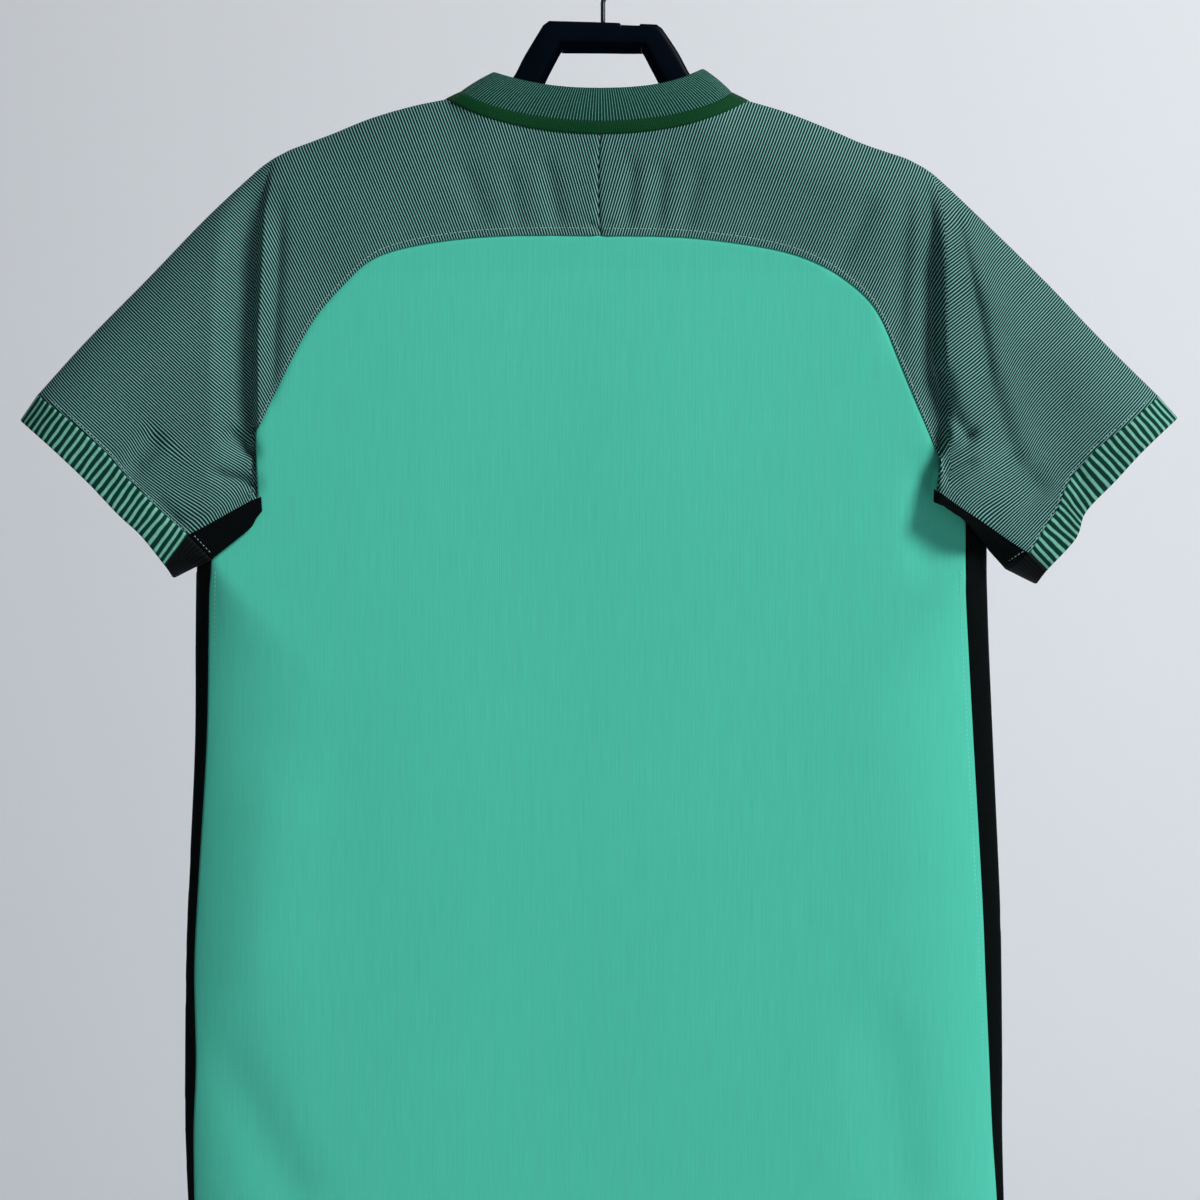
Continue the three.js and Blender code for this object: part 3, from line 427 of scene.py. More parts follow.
def tube_side(x, z, face, of_sleeve, relief=0.0):
    """Distance of the cloth behind or in front of the middle plane over flat points (x, z)."""
    x, z = np.asarray(x, float), np.asarray(z, float)
    relief = np.broadcast_to(relief, x.shape)
    out = np.zeros(x.shape)
    outward = -1.0 if face == "back" else 1.0
    for s in (0, 1):
        here = (x < 0, x >= 0)[s]
        if not np.any(here):
            continue
        hx, hz = x[here], z[here]
        ridge = rounded(distance_to(RIDGE[s], hx, hz) / SHOULDER_ROUND)
        depth = column(HALF_DEPTH, -hz) + ridges(FOLDS, face, hx, hz) + unevenness(hx, hz)
        if face == "back":
            depth = depth + valley_height(hx, hz, s, of_sleeve)
        depth = depth + relief[here]
        if of_sleeve:
            armpit = UNDERARM[s][0]
            edge = rounded(distance_to(UNDERARM_LINE[s], hx, hz) / ARMPIT_ROUND)
            reach = np.hypot(hx - armpit[0], hz - armpit[1])
            height = column((LEFT_RISE, RIGHT_RISE)[s], -hz)
            lean = -(LEAN_BASE + height) * (1 - smooth((reach - LEAN_FROM[s]) / LEAN_OVER[s]))
        else:
            turn = lerp(TUCK_ROUND, SIDE_ROUND, smooth((-hz - 395) / 110))
            edge = rounded(distance_to(SIDE_LINE[s], hx, hz) / turn)
            lean = 0.0
        out[here] = outward * depth * ridge * edge + lean * (1 - edge)
    return out


def towards_camera(points):
    """Slides a point along the camera's ray, so that depth doesn't move it in the view."""
    grow = 1 + np.minimum(points[:, 1], 0) / CAMERA_DISTANCE
    points[:, 0] *= grow
    points[:, 2] = CAMERA_HEIGHT + (points[:, 2] - CAMERA_HEIGHT) * grow
    return points


def lifted(flat, face, on_sleeve=False, relief=0.0):
    """Flat points lifted onto the back or the front of the tube."""
    x, z = flat[:, 0], flat[:, 1]
    points = np.stack([x, tube_side(x, z, face, on_sleeve, relief), z], axis=1)
    return towards_camera(points) if face == "back" else points


# ---------- meshes ----------
def settings():
    return bpy.context.scene.jersey


def lay_grid(bm, columns, rows, place, facing=None):
    """A grid of cloth: place(u, v) gives its points in mm and its cloth coordinates in metres."""
    made = bmesh.ops.create_grid(bm, x_segments=columns, y_segments=rows, size=1.0)["verts"]
    flat = np.array([v.co[:2] for v in made])
    flat = (flat - flat.min(axis=0)) / (flat.max(axis=0) - flat.min(axis=0))
    points, cloth = place(flat[:, 0], flat[:, 1])
    layer = bm.loops.layers.uv.get("cloth") or bm.loops.layers.uv.new("cloth")
    ordinal = {v: i for i, v in enumerate(made)}
    faces = {face for v in made for face in v.link_faces}
    for face in faces:
        numbers = [ordinal[loop.vert] for loop in face.loops]
        use = cloth(np.mean(points[numbers], axis=0)) if callable(cloth) else cloth
        for loop, i in zip(face.loops, numbers):
            loop[layer].uv = use[i]
    for v, point in zip(made, points):
        v.co = Vector(point) * MM
    if facing is not None:
        face_out(bm, faces, lambda middle: Vector(facing))
    return made


def face_out(bm, faces, outward):
    """Turns the faces if most of them look inwards."""
    bm.normal_update()
    turn = sum(face.calc_area() * face.normal.dot(outward(face.calc_center_median())) for face in faces)
    if turn < 0:
        bmesh.ops.reverse_faces(bm, faces=list(faces))


def finish_piece(bm, name, stands_for, material, wall=None):
    """The mesh as an object that rides on the body and stands for its CAD node."""
    mesh = bpy.data.meshes.new(name)
    bm.to_mesh(mesh)
    bm.free()
    piece = bpy.data.objects.new(name, mesh)
    bpy.context.scene.collection.objects.link(piece)
    mesh.materials.append(material)
    mesh.polygons.foreach_set("use_smooth", [True] * len(mesh.polygons))
    if wall:
        thick = piece.modifiers.new("wall", "SOLIDIFY")
        thick.thickness = wall * MM
        thick.offset = 0.0
        thick.use_quality_normals = True
    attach(piece, "root")
    if stands_for:
        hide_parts(stands_for)
    return piece


# ---------- materials ----------
def new_material(name):
    """A material with an empty shader."""
    material = bpy.data.materials.new(name)
    material.use_nodes = True
    nodes = material.node_tree.nodes
    nodes.clear()
    out = nodes.new("ShaderNodeOutputMaterial")
    skin = nodes.new("ShaderNodeBsdfPrincipled")
    material.node_tree.links.new(skin.outputs["BSDF"], out.inputs["Surface"])
    return material, material.node_tree, skin


def node(tree, kind, **sockets):
    """A shader node; in_Name or in_0 sets or links a socket."""
    made = tree.nodes.new(kind)
    for key, value in sockets.items():
        if key.startswith("in_"):
            index = key[3:]
            socket = made.inputs[int(index)] if index.isdigit() else made.inputs[index.replace("_", " ")]
            if isinstance(value, bpy.types.NodeSocket):
                tree.links.new(value, socket)
            else:
                socket.default_value = value
        else:
            setattr(made, key, value)
    return made


def maths(tree, operation, a, b=None, clamp=False):
    """One sum on values or sockets."""
    made = tree.nodes.new("ShaderNodeMath")
    made.operation = operation
    made.use_clamp = clamp
    for i, value in enumerate((a, b)):
        if value is None:
            continue
        if isinstance(value, bpy.types.NodeSocket):
            tree.links.new(value, made.inputs[i])
        else:
            made.inputs[i].default_value = value
    return made.outputs[0]


def new_group(name, inputs, outputs):
    tree = bpy.data.node_groups.new(name, "ShaderNodeTree")
    for label, kind, value in inputs:
        socket = tree.interface.new_socket(label, in_out="INPUT", socket_type=kind)
        if value is not None:
            socket.default_value = value
    for label, kind in outputs:
        tree.interface.new_socket(label, in_out="OUTPUT", socket_type=kind)
    return tree, tree.nodes.new("NodeGroupInput"), tree.nodes.new("NodeGroupOutput")


def knit_group():
    """Loops of knit from the cloth coordinates: a height per loop, and a painted shade that darkens the loops'
    low hollows.
    """
    if "knit loops" in bpy.data.node_groups:
        return bpy.data.node_groups["knit loops"]
    tree, given, out = new_group(
        "knit loops",
        [("Cloth", "NodeSocketVector", None), ("Wale", "NodeSocketFloat", 0.0011),
         ("Course", "NodeSocketFloat", 0.0008)],
        [("Height", "NodeSocketFloat"), ("Shade", "NodeSocketFloat")],
    )
    split = node(tree, "ShaderNodeSeparateXYZ", in_0=given.outputs["Cloth"])
    across = maths(tree, "DIVIDE", split.outputs["X"], given.outputs["Wale"])
    along = maths(tree, "DIVIDE", split.outputs["Y"], given.outputs["Course"])
    ribs = maths(tree, "ABSOLUTE", maths(tree, "SINE", maths(tree, "MULTIPLY", across, math.pi)))
    slant = maths(tree, "ADD", along, maths(tree, "MULTIPLY", ribs, 0.55))
    loops = maths(tree, "ABSOLUTE", maths(tree, "SINE", maths(tree, "MULTIPLY", slant, math.pi)))
    height = maths(tree, "ADD", maths(tree, "MULTIPLY", ribs, 0.6), maths(tree, "MULTIPLY", loops, 0.4))
    tree.links.new(height, out.inputs["Height"])
    # painted shade: the lower the loop's height, the darker its colour
    tree.links.new(maths(tree, "SUBTRACT", height, 0.55), out.inputs["Shade"])
    return tree


def stripe_group():
    """A yarn stripe across the cloth coordinate: 1 on the light yarn, soft at its edges."""
    if "yarn stripe" in bpy.data.node_groups:
        return bpy.data.node_groups["yarn stripe"]
    tree, given, out = new_group(
        "yarn stripe",
        [("Across", "NodeSocketFloat", 0.0), ("Period", "NodeSocketFloat", 0.002),
         ("Share", "NodeSocketFloat", 0.42), ("Softness", "NodeSocketFloat", 0.12)],
        [("Mask", "NodeSocketFloat")],
    )
    phase = maths(tree, "FRACT", maths(tree, "DIVIDE", given.outputs["Across"], given.outputs["Period"]))
    middle = maths(tree, "MULTIPLY", maths(tree, "ABSOLUTE", maths(tree, "SUBTRACT", phase, 0.5)), 2.0)
    edge = maths(tree, "SUBTRACT", given.outputs["Share"], middle)
    soft = maths(tree, "ADD", maths(tree, "DIVIDE", edge, given.outputs["Softness"]), 0.5, clamp=True)
    tree.links.new(soft, out.inputs["Mask"])
    return tree


def cloth_coordinate(tree):
    """The piece's own UV map, in metres of cloth."""
    return node(tree, "ShaderNodeUVMap", uv_map="cloth").outputs["UV"]


def object_coordinate(tree):
    return tree.nodes.new("ShaderNodeTexCoord").outputs["Object"]


def placed_group(tree, group, **sockets):
    made = tree.nodes.new("ShaderNodeGroup")
    made.node_tree = group
    for key, value in sockets.items():
        if isinstance(value, bpy.types.NodeSocket):
            tree.links.new(value, made.inputs[key])
        else:
            made.inputs[key].default_value = value
    return made


def blend_colour(tree, share, a, b):
    """From colour a at share 0 to colour b at 1."""
    made = tree.nodes.new("ShaderNodeMix")
    made.data_type = "RGBA"
    for index, value in ((0, share), (6, a), (7, b)):
        if isinstance(value, bpy.types.NodeSocket):
            tree.links.new(value, made.inputs[index])
        else:
            made.inputs[index].default_value = (*value, 1.0) if index else value
    return made.outputs[2]


def brighten(tree, colour, amount):
    """Colour times (1 + amount)."""
    made = node(tree, "ShaderNodeHueSaturation", in_Color=colour)
    tree.links.new(maths(tree, "ADD", amount, 1.0), made.inputs["Value"])
    return made.outputs[0]


def noise(tree, place, scale, detail):
    made = node(tree, "ShaderNodeTexNoise", in_Vector=place, in_Scale=scale, in_Detail=detail)
    return made.outputs["Fac"]


def cloth_noise(tree, across, along, detail):
    """Noise over the cloth with so many grains per metre across and along it."""
    place = node(tree, "ShaderNodeMapping", in_Vector=cloth_coordinate(tree), in_Scale=(across, along, 1.0))
    return noise(tree, place.outputs[0], 1.0, detail)


def swing(tree, value, amount):
    """How far a value from 0 to 1 is off its middle, times an amount."""
    return maths(tree, "MULTIPLY", maths(tree, "SUBTRACT", value, 0.5), amount)


def ranged(tree, value, low, high, to_low, to_high):
    """A value from one range taken to another."""
    made = node(tree, "ShaderNodeMapRange", in_0=value, in_1=low, in_2=high, in_3=to_low, in_4=to_high)
    return made.outputs[0]


def finish_skin(tree, skin, colour, height=None, relief=0.0, strength=1.0, **constants):
    """Colour and relief of a material, and the constants of its shader."""
    tree.links.new(colour, skin.inputs["Base Color"])
    if height is not None:
        made = node(tree, "ShaderNodeBump", in_Height=height, in_Distance=relief, in_Strength=strength)
        tree.links.new(made.outputs[0], skin.inputs["Normal"])
    for label, value in constants.items():
        skin.inputs[label.replace("_", " ")].default_value = value


def mint_knit():
    """Smooth mint knit with faint heather streaks down the cloth."""
    material, tree, skin = new_material("mint_knit")
    knit = placed_group(tree, knit_group(), Cloth=cloth_coordinate(tree), Wale=0.00125, Course=0.0009)
    streaks = swing(tree, cloth_noise(tree, 900.0, 30.0, 2.0), 0.2)
    broad = swing(tree, cloth_noise(tree, 150.0, 4.0, 2.0), 0.05)
    # painted shade in the knit loops' hollows, added to the random streaks
    loops = maths(tree, "MULTIPLY", knit.outputs["Shade"], 0.10)
    shade = maths(tree, "ADD", maths(tree, "ADD", streaks, broad), loops)
    colour = brighten(tree, blend_colour(tree, 0.0, settings().mint, settings().mint), shade)
    finish_skin(tree, skin, colour, knit.outputs["Height"], 0.0001, 0.5, Roughness=0.8, Specular_IOR_Level=0.2)
    return material


def pinstripe_knit():
    """Fine light yarn lines on dark green, with the yarn's own unevenness."""
    material, tree, skin = new_material("pinstripe_knit")
    split = node(tree, "ShaderNodeSeparateXYZ", in_0=cloth_coordinate(tree))
    wander = swing(tree, cloth_noise(tree, 60.0, 25.0, 1.0), 0.0006)
    stripe = placed_group(tree, stripe_group(), Across=maths(tree, "ADD", split.outputs["X"], wander),
                          Period=settings().stripe_period, Share=0.3, Softness=0.3)
    yarn = cloth_noise(tree, 500.0, 260.0, 1.0)
    broad = swing(tree, cloth_noise(tree, 25.0, 14.0, 2.0), 0.3)
    shade = maths(tree, "ADD", swing(tree, yarn, 0.25), broad)
    colour = blend_colour(tree, stripe.outputs["Mask"], settings().stripe_dark, settings().stripe_light)
    height = maths(tree, "ADD", stripe.outputs["Mask"], maths(tree, "MULTIPLY", yarn, 0.6))
    finish_skin(tree, skin, brighten(tree, colour, shade), height, 0.00012, 0.6,
                Roughness=0.8, Specular_IOR_Level=0.15)
    return material


def black_knit():
    """Matt black mesh with small dimples."""
    material, tree, skin = new_material("black_mesh_knit")
    knit = placed_group(tree, knit_group(), Cloth=cloth_coordinate(tree), Wale=0.0016, Course=0.0016)
    fluff = swing(tree, cloth_noise(tree, 90.0, 90.0, 3.0), 0.5)
    # painted shade in the mesh's dimples, with random fluff
    shade = maths(tree, "ADD", maths(tree, "MULTIPLY", knit.outputs["Shade"], 0.9), fluff)
    colour = brighten(tree, blend_colour(tree, 0.0, settings().black, settings().black), shade)
    finish_skin(tree, skin, colour, knit.outputs["Height"], 0.00025, 0.7, Roughness=0.85, Specular_IOR_Level=0.05)
    return material


def striped_rib(name, period, dark, light, share, wander_share, edge=None):
    """Rib knit with light lines across the band; a dark line may follow its edge."""
    material, tree, skin = new_material(name)
    split = node(tree, "ShaderNodeSeparateXYZ", in_0=cloth_coordinate(tree))
    wander = swing(tree, cloth_noise(tree, 110.0, 70.0, 1.0), wander_share * period)
    across = maths(tree, "ADD", split.outputs["X"], wander)
    stripe = placed_group(tree, stripe_group(), Across=across, Period=period, Share=share, Softness=0.25)
    yarn = cloth_noise(tree, 260.0, 420.0, 1.0)
    mask = stripe.outputs["Mask"]
    if edge is not None:
        near = maths(tree, "ABSOLUTE", maths(tree, "SUBTRACT", split.outputs["Y"], edge))
        mask = maths(tree, "MULTIPLY", mask, maths(tree, "DIVIDE", near, 0.0014, clamp=True))
    colour = brighten(tree, blend_colour(tree, mask, dark, light), swing(tree, yarn, 0.5))
    height = maths(tree, "ADD", mask, maths(tree, "MULTIPLY", yarn, 0.5))
    finish_skin(tree, skin, colour, height, 0.0003, 0.7, Roughness=0.8, Specular_IOR_Level=0.1)
    return material


def trim_rib():
    """Dark green fine rib of the neck trim."""
    material, tree, skin = new_material("trim_rib")
    ribs = placed_group(tree, knit_group(), Cloth=cloth_coordinate(tree), Wale=0.0014, Course=0.0011)
    base = blend_colour(tree, 0.0, settings().trim, settings().trim)
    # painted shade darkens the hollows between the ribs
    colour = brighten(tree, base, maths(tree, "MULTIPLY", ribs.outputs["Shade"], 1.1))
    finish_skin(tree, skin, colour, ribs.outputs["Height"], 0.0003, 0.8, Roughness=0.8, Specular_IOR_Level=0.12)
    return material


def thread(name, colour):
    """Twisted sewing thread."""
    material, tree, skin = new_material(name)
    twist = swing(tree, noise(tree, object_coordinate(tree), 900.0, 1.0), 0.6)
    finish_skin(tree, skin, brighten(tree, blend_colour(tree, 0.0, colour, colour), twist), Roughness=0.6)
    return material


def satin_plastic(name="satin_plastic", shine=0.4):
    """Moulded black plastic with a fine grain and cloudy, slightly lighter patches; with shine at nought it is a
    copy without reflections, painted shade for the handle's inside.
    """
    material, tree, skin = new_material(name)
    grain = noise(tree, object_coordinate(tree), 1400.0, 2.0)
    cloudy = noise(tree, object_coordinate(tree), 28.0, 4.0)
    rubbed = tuple(1.7 * c for c in settings().plastic)
    tree.links.new(ranged(tree, cloudy, 0.3, 0.7, 0.3, 0.42), skin.inputs["Roughness"])
    finish_skin(tree, skin, blend_colour(tree, cloudy, settings().plastic, rubbed), grain, 0.00005, 0.5,
                Specular_IOR_Level=shine, IOR=1.12)
    return material


def drawn_steel():
    """Bright drawn wire with faint lines along it."""
    material, tree, skin = new_material("drawn_steel")
    lines = cloth_noise(tree, 9000.0, 60.0, 2.0)
    dull = tuple(0.8 * c for c in settings().steel)
    tree.links.new(ranged(tree, lines, 0.2, 0.8, 0.22, 0.4), skin.inputs["Roughness"])
    finish_skin(tree, skin, blend_colour(tree, lines, dull, settings().steel), lines, 0.00003, 0.4, Metallic=1.0)
    return material


def once(name, make):
    """The material of that name, made at its first use."""
    return bpy.data.materials.get(name) or make()


# ---------- pieces ----------
def spread(t, ends=0.1):
    """Even shares drawn together towards both ends."""
    return t - ends * np.sin(2 * math.pi * t)


def stripe_field(points, s, sleeve):
    """Cloth coordinate of the stripes in metres: across them, and along them."""
    x, z = points[:, 0], points[:, 2]
    if sleeve:
        angle, out = math.radians(STRIPE_ANGLE[s]), -OUTWARD[s] * x
        across = out * math.sin(angle) + z * math.cos(angle) + ridges(PULLS, s, x, z)
        return np.stack([across, out * math.cos(angle) - z * math.sin(angle)], axis=1) * MM
    dx, dz = x - OUTWARD[s] * YOKE_CENTRE[0], z - YOKE_CENTRE[1]
    return np.stack([np.arctan2(dx, dz) * YOKE_RADIUS, np.hypot(dx, dz)], axis=1) * MM


def allowance_relief(d):
    """Seam allowance pressed under the cloth, with its stitched groove."""
    height, width, fall = 0.45, 4.6, 1.6
    stitched_at, groove, groove_width = 4.0, 0.4, 0.7
    return height * (1 - smooth((d - width) / fall)) - groove * bell(d - stitched_at, groove_width)


def sleeve_stations():
    """Stations of the sleeve's columns, closest together round the armpit."""
    spans = ((0, 4, 53), (4, 10, 90), (10, 12.5, 30), (12.5, 16, 70))
    return np.unique(np.concatenate([np.linspace(*span) for span in spans]))


def sleeve(s):
    """Raglan sleeve with its half of the yoke; back and front meet along the ridge."""
    stations = sleeve_stations()
    over_ridge = stations[stations >= NECK_POINT - 1e-4]
    seam_reach = 0.8  # how far the cloth runs past the seam line
    ends = 0.125  # how much the rows draw together at the seam and the ridge

    def cuts(points):
        """The stripes of the yoke and of the sleeve, each on its side of the valley."""
        yoke, arm = stripe_field(points, s, False), stripe_field(points, s, True)

        def choose(middle):
            line = column(VALLEY_LINE, -middle[2], 1 + s)
            if s == 1:
                line += 4.5 * (1 - smooth((-middle[2] - 300) / 40))
            return arm if abs(middle[0]) > line + 0.5 else yoke
        return choose

    def seam_relief(flat, p, w, d, face):
        """Pressed allowance beside the raglan seam, and the groove of the cuff's stitches."""
        cuff_line = station_point(s, np.full(40, float(CUFF)), np.linspace(0, 1, 40), face)
        groove = 0.3 * bell(distance_to(cuff_line, flat[:, 0], flat[:, 1]) - 3, 0.8) * (p > 12.5)
        return allowance_relief(d) * smooth((1 - w) / 0.1) - groove

    def back(u, v):
        p = np.interp(u, np.linspace(0, 1, len(stations)), stations)
        w = spread(v, ends)
        length = np.linalg.norm(top_at(s, p) - seam_at(s, p), axis=1)
        tuck = 0.0
        if s == 0:
            tuck = 7.0 * smooth((p - 10.2) / 0.6) * (1 - smooth((p - 11.8) / 0.4)) * (p > 10.2)
        w = w - (seam_reach + tuck) / length * (1 - w) ** 6
        flat = station_point(s, p, w, "back")
        neck, yoke_height, sway = TOP[s][0][1], TOP[s][0][1] - SEAM[s][0][1], 1.3
        down_yoke = np.clip((neck - flat[:, 1]) / yoke_height, 0, 1)
        flat[:, 0] -= sway * np.sin(math.pi * down_yoke) * bell(flat[:, 0], 12)  # the centre seam hangs askew
        d = w * length
        relief = seam_relief(flat, p, w, d, "back")
        if s == 0:
            relief = np.where((p > 10.2) & (d < 6), relief - 1.2 * smooth((6 - d) / 6), relief)
        off_centre = p * TOP[1][1][0]
        centre_seam = 0.35 * bell(off_centre, 0.9) - 0.25 * bell(off_centre - 4, 2.5)
        relief = relief - np.where(p < 1.5, centre_seam, 0)
        points = lifted(flat, "back", True, relief)
        points[(v > 1 - 1e-4) & (p >= NECK_POINT - 1e-4), 1] = 0
        return points, cuts(points)

    def front(u, v):
        p = np.interp(u, np.linspace(0, 1, len(over_ridge)), over_ridge)
        w = 1 - spread(v, ends)
        length = np.linalg.norm(top_at(s, p) - front_at(s, p), axis=1)
        w = w - seam_reach / length * (1 - w) ** 6
        flat = station_point(s, p, w, "front")
        points = lifted(flat, "front", True, seam_relief(flat, p, w, w * length, "front"))
        points[v < 1e-4, 1] = 0
        return points, cuts(points)

    bm = bmesh.new()
    lay_grid(bm, len(stations) - 1, 74, back, TOWARDS["back"])
    lay_grid(bm, len(over_ridge) - 1, 40, front, TOWARDS["front"])
    bmesh.ops.remove_doubles(bm, verts=bm.verts[:], dist=2e-5)
    name = f"sleeve_{SIDES[s]}"
    return finish_piece(bm, f"{name}_cloth", name, once("pinstripe_knit", pinstripe_knit), settings().knit_wall)


def panel_place(top, left, right, face, relief_at):
    """Coons patch between a top curve and two side curves, down to a straight hem."""
    shares, fall = added_up(steps(top)), added_up((steps(left) + steps(right)) / 2)
    shares, fall = shares / shares[-1], fall / fall[-1]

    def at(line, grid, t):
        return np.stack([np.interp(t, grid, line[:, k]) for k in (0, 1)], axis=1)

    def place(u, v):
        across, down = spread(u, 0.08), spread(1 - v, 0.05)
        t, l, r = at(top, shares, across), at(left, fall, down), at(right, fall, down)
        start, end = left[0][1] + right[0][1], left[-1][1] + right[-1][1]
        drop = ((l[:, 1] + r[:, 1] - start) / (end - start))[:, None]
        hem = mix(left[-1][None], right[-1][None], across)
        chord = mix(top[0][None], top[-1][None], across)
        flat = (1 - drop) * t + drop * hem + mix(l, r, across) - (1 - drop) * chord - drop * hem
        return lifted(flat, face, False, relief_at(flat)), flat * MM
    return place


def hem_relief(z):
    """Turned hem held by two rows of stitches."""
    height, fall, groove, groove_width = 0.5, 1.5, 0.3, 0.7
    up = z - HEM
    grooves = sum(groove * bell(up - row, groove_width) for row in HEM_STITCHES)
    return height * (1 - smooth((up - HEM_DEPTH) / fall)) - grooves


def panel(face, top, sides, columns, rows, relief):
    """Mint panel of one face, from its top edge down to the hem."""
    bm = bmesh.new()
    lay_grid(bm, columns, rows, panel_place(top, *sides, face, relief), TOWARDS[face])
    name = f"{face}_panel"
    return finish_piece(bm, f"{name}_cloth", name, once("mint_knit", mint_knit), settings().knit_wall)


def back_panel():
    """Mint back, arched under the yoke."""
    arch = np.vstack([seam_at(0, np.arange(5, -0.01, -0.1)), seam_at(1, np.arange(0.1, 5.01, 0.1))])
    sides = [np.vstack([seam_at(s, np.arange(5, 12.01, 0.1)), [ARMPIT_STEP[s]], side_seam(s, SIDE_STATIONS)])
             for s in (0, 1)]

    def relief(flat):
        """The cloth dips to the raglan seam, and on the right it rises under the sleeve's roll."""
        x, z = flat[:, 0], flat[:, 1]
        d = np.minimum(distance_to(BACK_SEAM[0], x, z), distance_to(BACK_SEAM[1], x, z))
        dip_ends, rise_starts, over = 318, 342, 14  # below the hook's crown, at the armpits
        dip = -0.75 * bell(d, 1.8) * (1 - smooth((-z - dip_ends) / over) * (x < 0))
        rise = 6.0 * smooth((-z - rise_starts) / over) * bell(d, 2.4) * (x > 0)
        return dip + rise + hem_relief(z)
    return panel("back", arch, sides, 176, 216, relief)


def front_panel():
    """Mint front with its round neck."""
    low = np.arange(5, 8.01, 0.1) - NECK_POINT
    neck = np.vstack([curve(NECK_FRONT[0], low, [1]), curve(NECK_FRONT[1], low[::-1][1:], [1])])
    sides = [np.vstack([front_at(s, np.arange(4, 12.01, 0.1)), [ARMPIT_STEP[s]], side_front(s, SIDE_STATIONS)])
             for s in (0, 1)]
    return panel("front", neck, sides, 150, 200, lambda flat: hem_relief(flat[:, 1]) - 0.2)


def side_strip(s):
    """Black strip from the hem to the armpit, wrapped round the side edge."""
    back_width, front_width = 10, 18

    def place(u, v):
        q = LAST_SIDE * (1 - v)
        seam, edge, front = side_seam(s, q), side_edge(s, q), side_front(s, q)
        on_back = u <= 0.5
        turn = np.abs(1 - 2 * u) ** 1.7
        t = np.where(on_back, 1 - turn, turn)
        flat = np.where(on_back[:, None], mix(seam, edge, t), mix(edge, front, t))
        lift_back = lifted(flat, "back", False, hem_relief(flat[:, 1]) + 0.25)
        lift_front = lifted(flat, "front", False, hem_relief(flat[:, 1]))
        width = np.where(on_back, -(1 - t) * back_width, t * front_width)
        return np.where(on_back[:, None], lift_back, lift_front), np.stack([width, flat[:, 1]], axis=1) * MM
    bm = bmesh.new()
    lay_grid(bm, 28, 230, place, (OUTWARD[s], 0, 0))
    name = f"side_panel_{SIDES[s]}"
    return finish_piece(bm, f"{name}_cloth", name, once("black_mesh_knit", black_knit), settings().knit_wall)


def gusset(s):
    """Black underarm piece folded along the sleeve's lower edge."""
    across, along = 50, 40  # of the cloth

    def place(u, v):
        p = ARMPIT + (CUFF - ARMPIT) * u
        fold = under_at(s, p)
        on_back = v <= 0.5
        t = 1 - np.abs(1 - 2 * v) ** 1.8
        flat = np.where(on_back[:, None], mix(seam_at(s, p), fold, t), mix(front_at(s, p), fold, t))
        corner = 1 - smooth(u / 0.14)
        flat[:, 0] -= 2.0 * OUTWARD[s] * corner
        lift_back, lift_front = lifted(flat, "back", True, 1.2 * corner), lifted(flat, "front", True)
        return np.where(on_back[:, None], lift_back, lift_front), np.stack([across * u, along * v], axis=1) * MM
    bm = bmesh.new()
    lay_grid(bm, 40, 32, place, (0, 0, -1))
    name = f"gusset_{SIDES[s]}"
    return finish_piece(bm, f"{name}_cloth", name, once("black_mesh_knit", black_knit), settings().knit_wall)


def cuff_seam(s, u):
    """The cuff's seam from the ridge (u = 0) to the underarm fold (u = 1)."""
    at_cuff = np.full(np.shape(u), float(CUFF))
    band = station_point(s, at_cuff, np.clip(1 - u / CUFF_BLACK, 0, 1), "back")
    share = np.clip((u - CUFF_BLACK) / (1 - CUFF_BLACK), 0, 1)
    black = mix(seam_at(s, at_cuff), under_at(s, at_cuff), share)
    return np.where((u <= CUFF_BLACK)[:, None], band, black)


def cuff_edge(s, u):
    """The cuff's open edge from the ridge (u = 0) to the underarm fold (u = 1)."""
    rows = np.asarray(CUFF_EDGE[s], float)
    return curve(rows[:, 1:], np.interp(u, rows[:, 0], np.arange(len(rows))))


def cuff_ring(s, c, v):
    """The cuff's outer face: c runs from the underarm over the back, the ridge and the front, v down."""
    u = np.abs(1 - 2 * c)
    flat = mix(cuff_seam(s, u), cuff_edge(s, u), v)
    back, front = (lifted(flat, face, True, 0.35) for face in ("back", "front"))
    points = np.where((c <= 0.5)[:, None], back, front)
    points[u < 1e-6, 1] = 0
    return points


def band_rows(ring, c):
    """Rows of a doubled band: down the outside, over the fold at v = 1, and back up inside."""
    step = 2e-3

    def at(v):
        return ring(c, np.full(len(c), v))

    def inwards(v):
        """The band's inward normal and its downward direction."""
        level = np.full(len(c), v)
        across = ring(np.clip(c + step, 0, 1), level) - ring(np.clip(c - step, 0, 1), level)
        down = at(min(1.0, v + 0.02)) - at(max(0.0, v - 0.02))
        return unit(np.cross(across, down)), unit(down)

    def turned(normal, v):
        return -normal if np.sum(normal * (at(v) - centre)) > 0 else normal

    shares = np.linspace(0, 1, BAND_ROWS)
    centre = at(0.5).mean(axis=0)
    made = [at(share) for share in shares]
    normal, down = inwards(0.98)
    normal = turned(normal, 1.0)
    for turn in np.linspace(0, math.pi, 6)[1:]:
        bend = down * math.sin(turn) + normal * (1 - math.cos(turn))
        made.append(made[BAND_ROWS - 1] + RIB_FOLD * bend)
    for share in shares[::-1][1:]:
        normal = turned(inwards(min(0.98, max(0.02, share)))[0], share)
        made.append(at(share) + normal * RIB_FOLD * 2)
    return np.array(made)


def laid_rows(bm, rows_of_points, cloth):
    """A grid through given rows of points."""
    rows, columns = rows_of_points.shape[:2]

    def place(u, v):
        i = np.rint(v * (rows - 1)).astype(int)
        k = np.rint(u * (columns - 1)).astype(int)
        return rows_of_points[i, k], cloth[i, k]
    return lay_grid(bm, columns - 1, rows - 1, place)


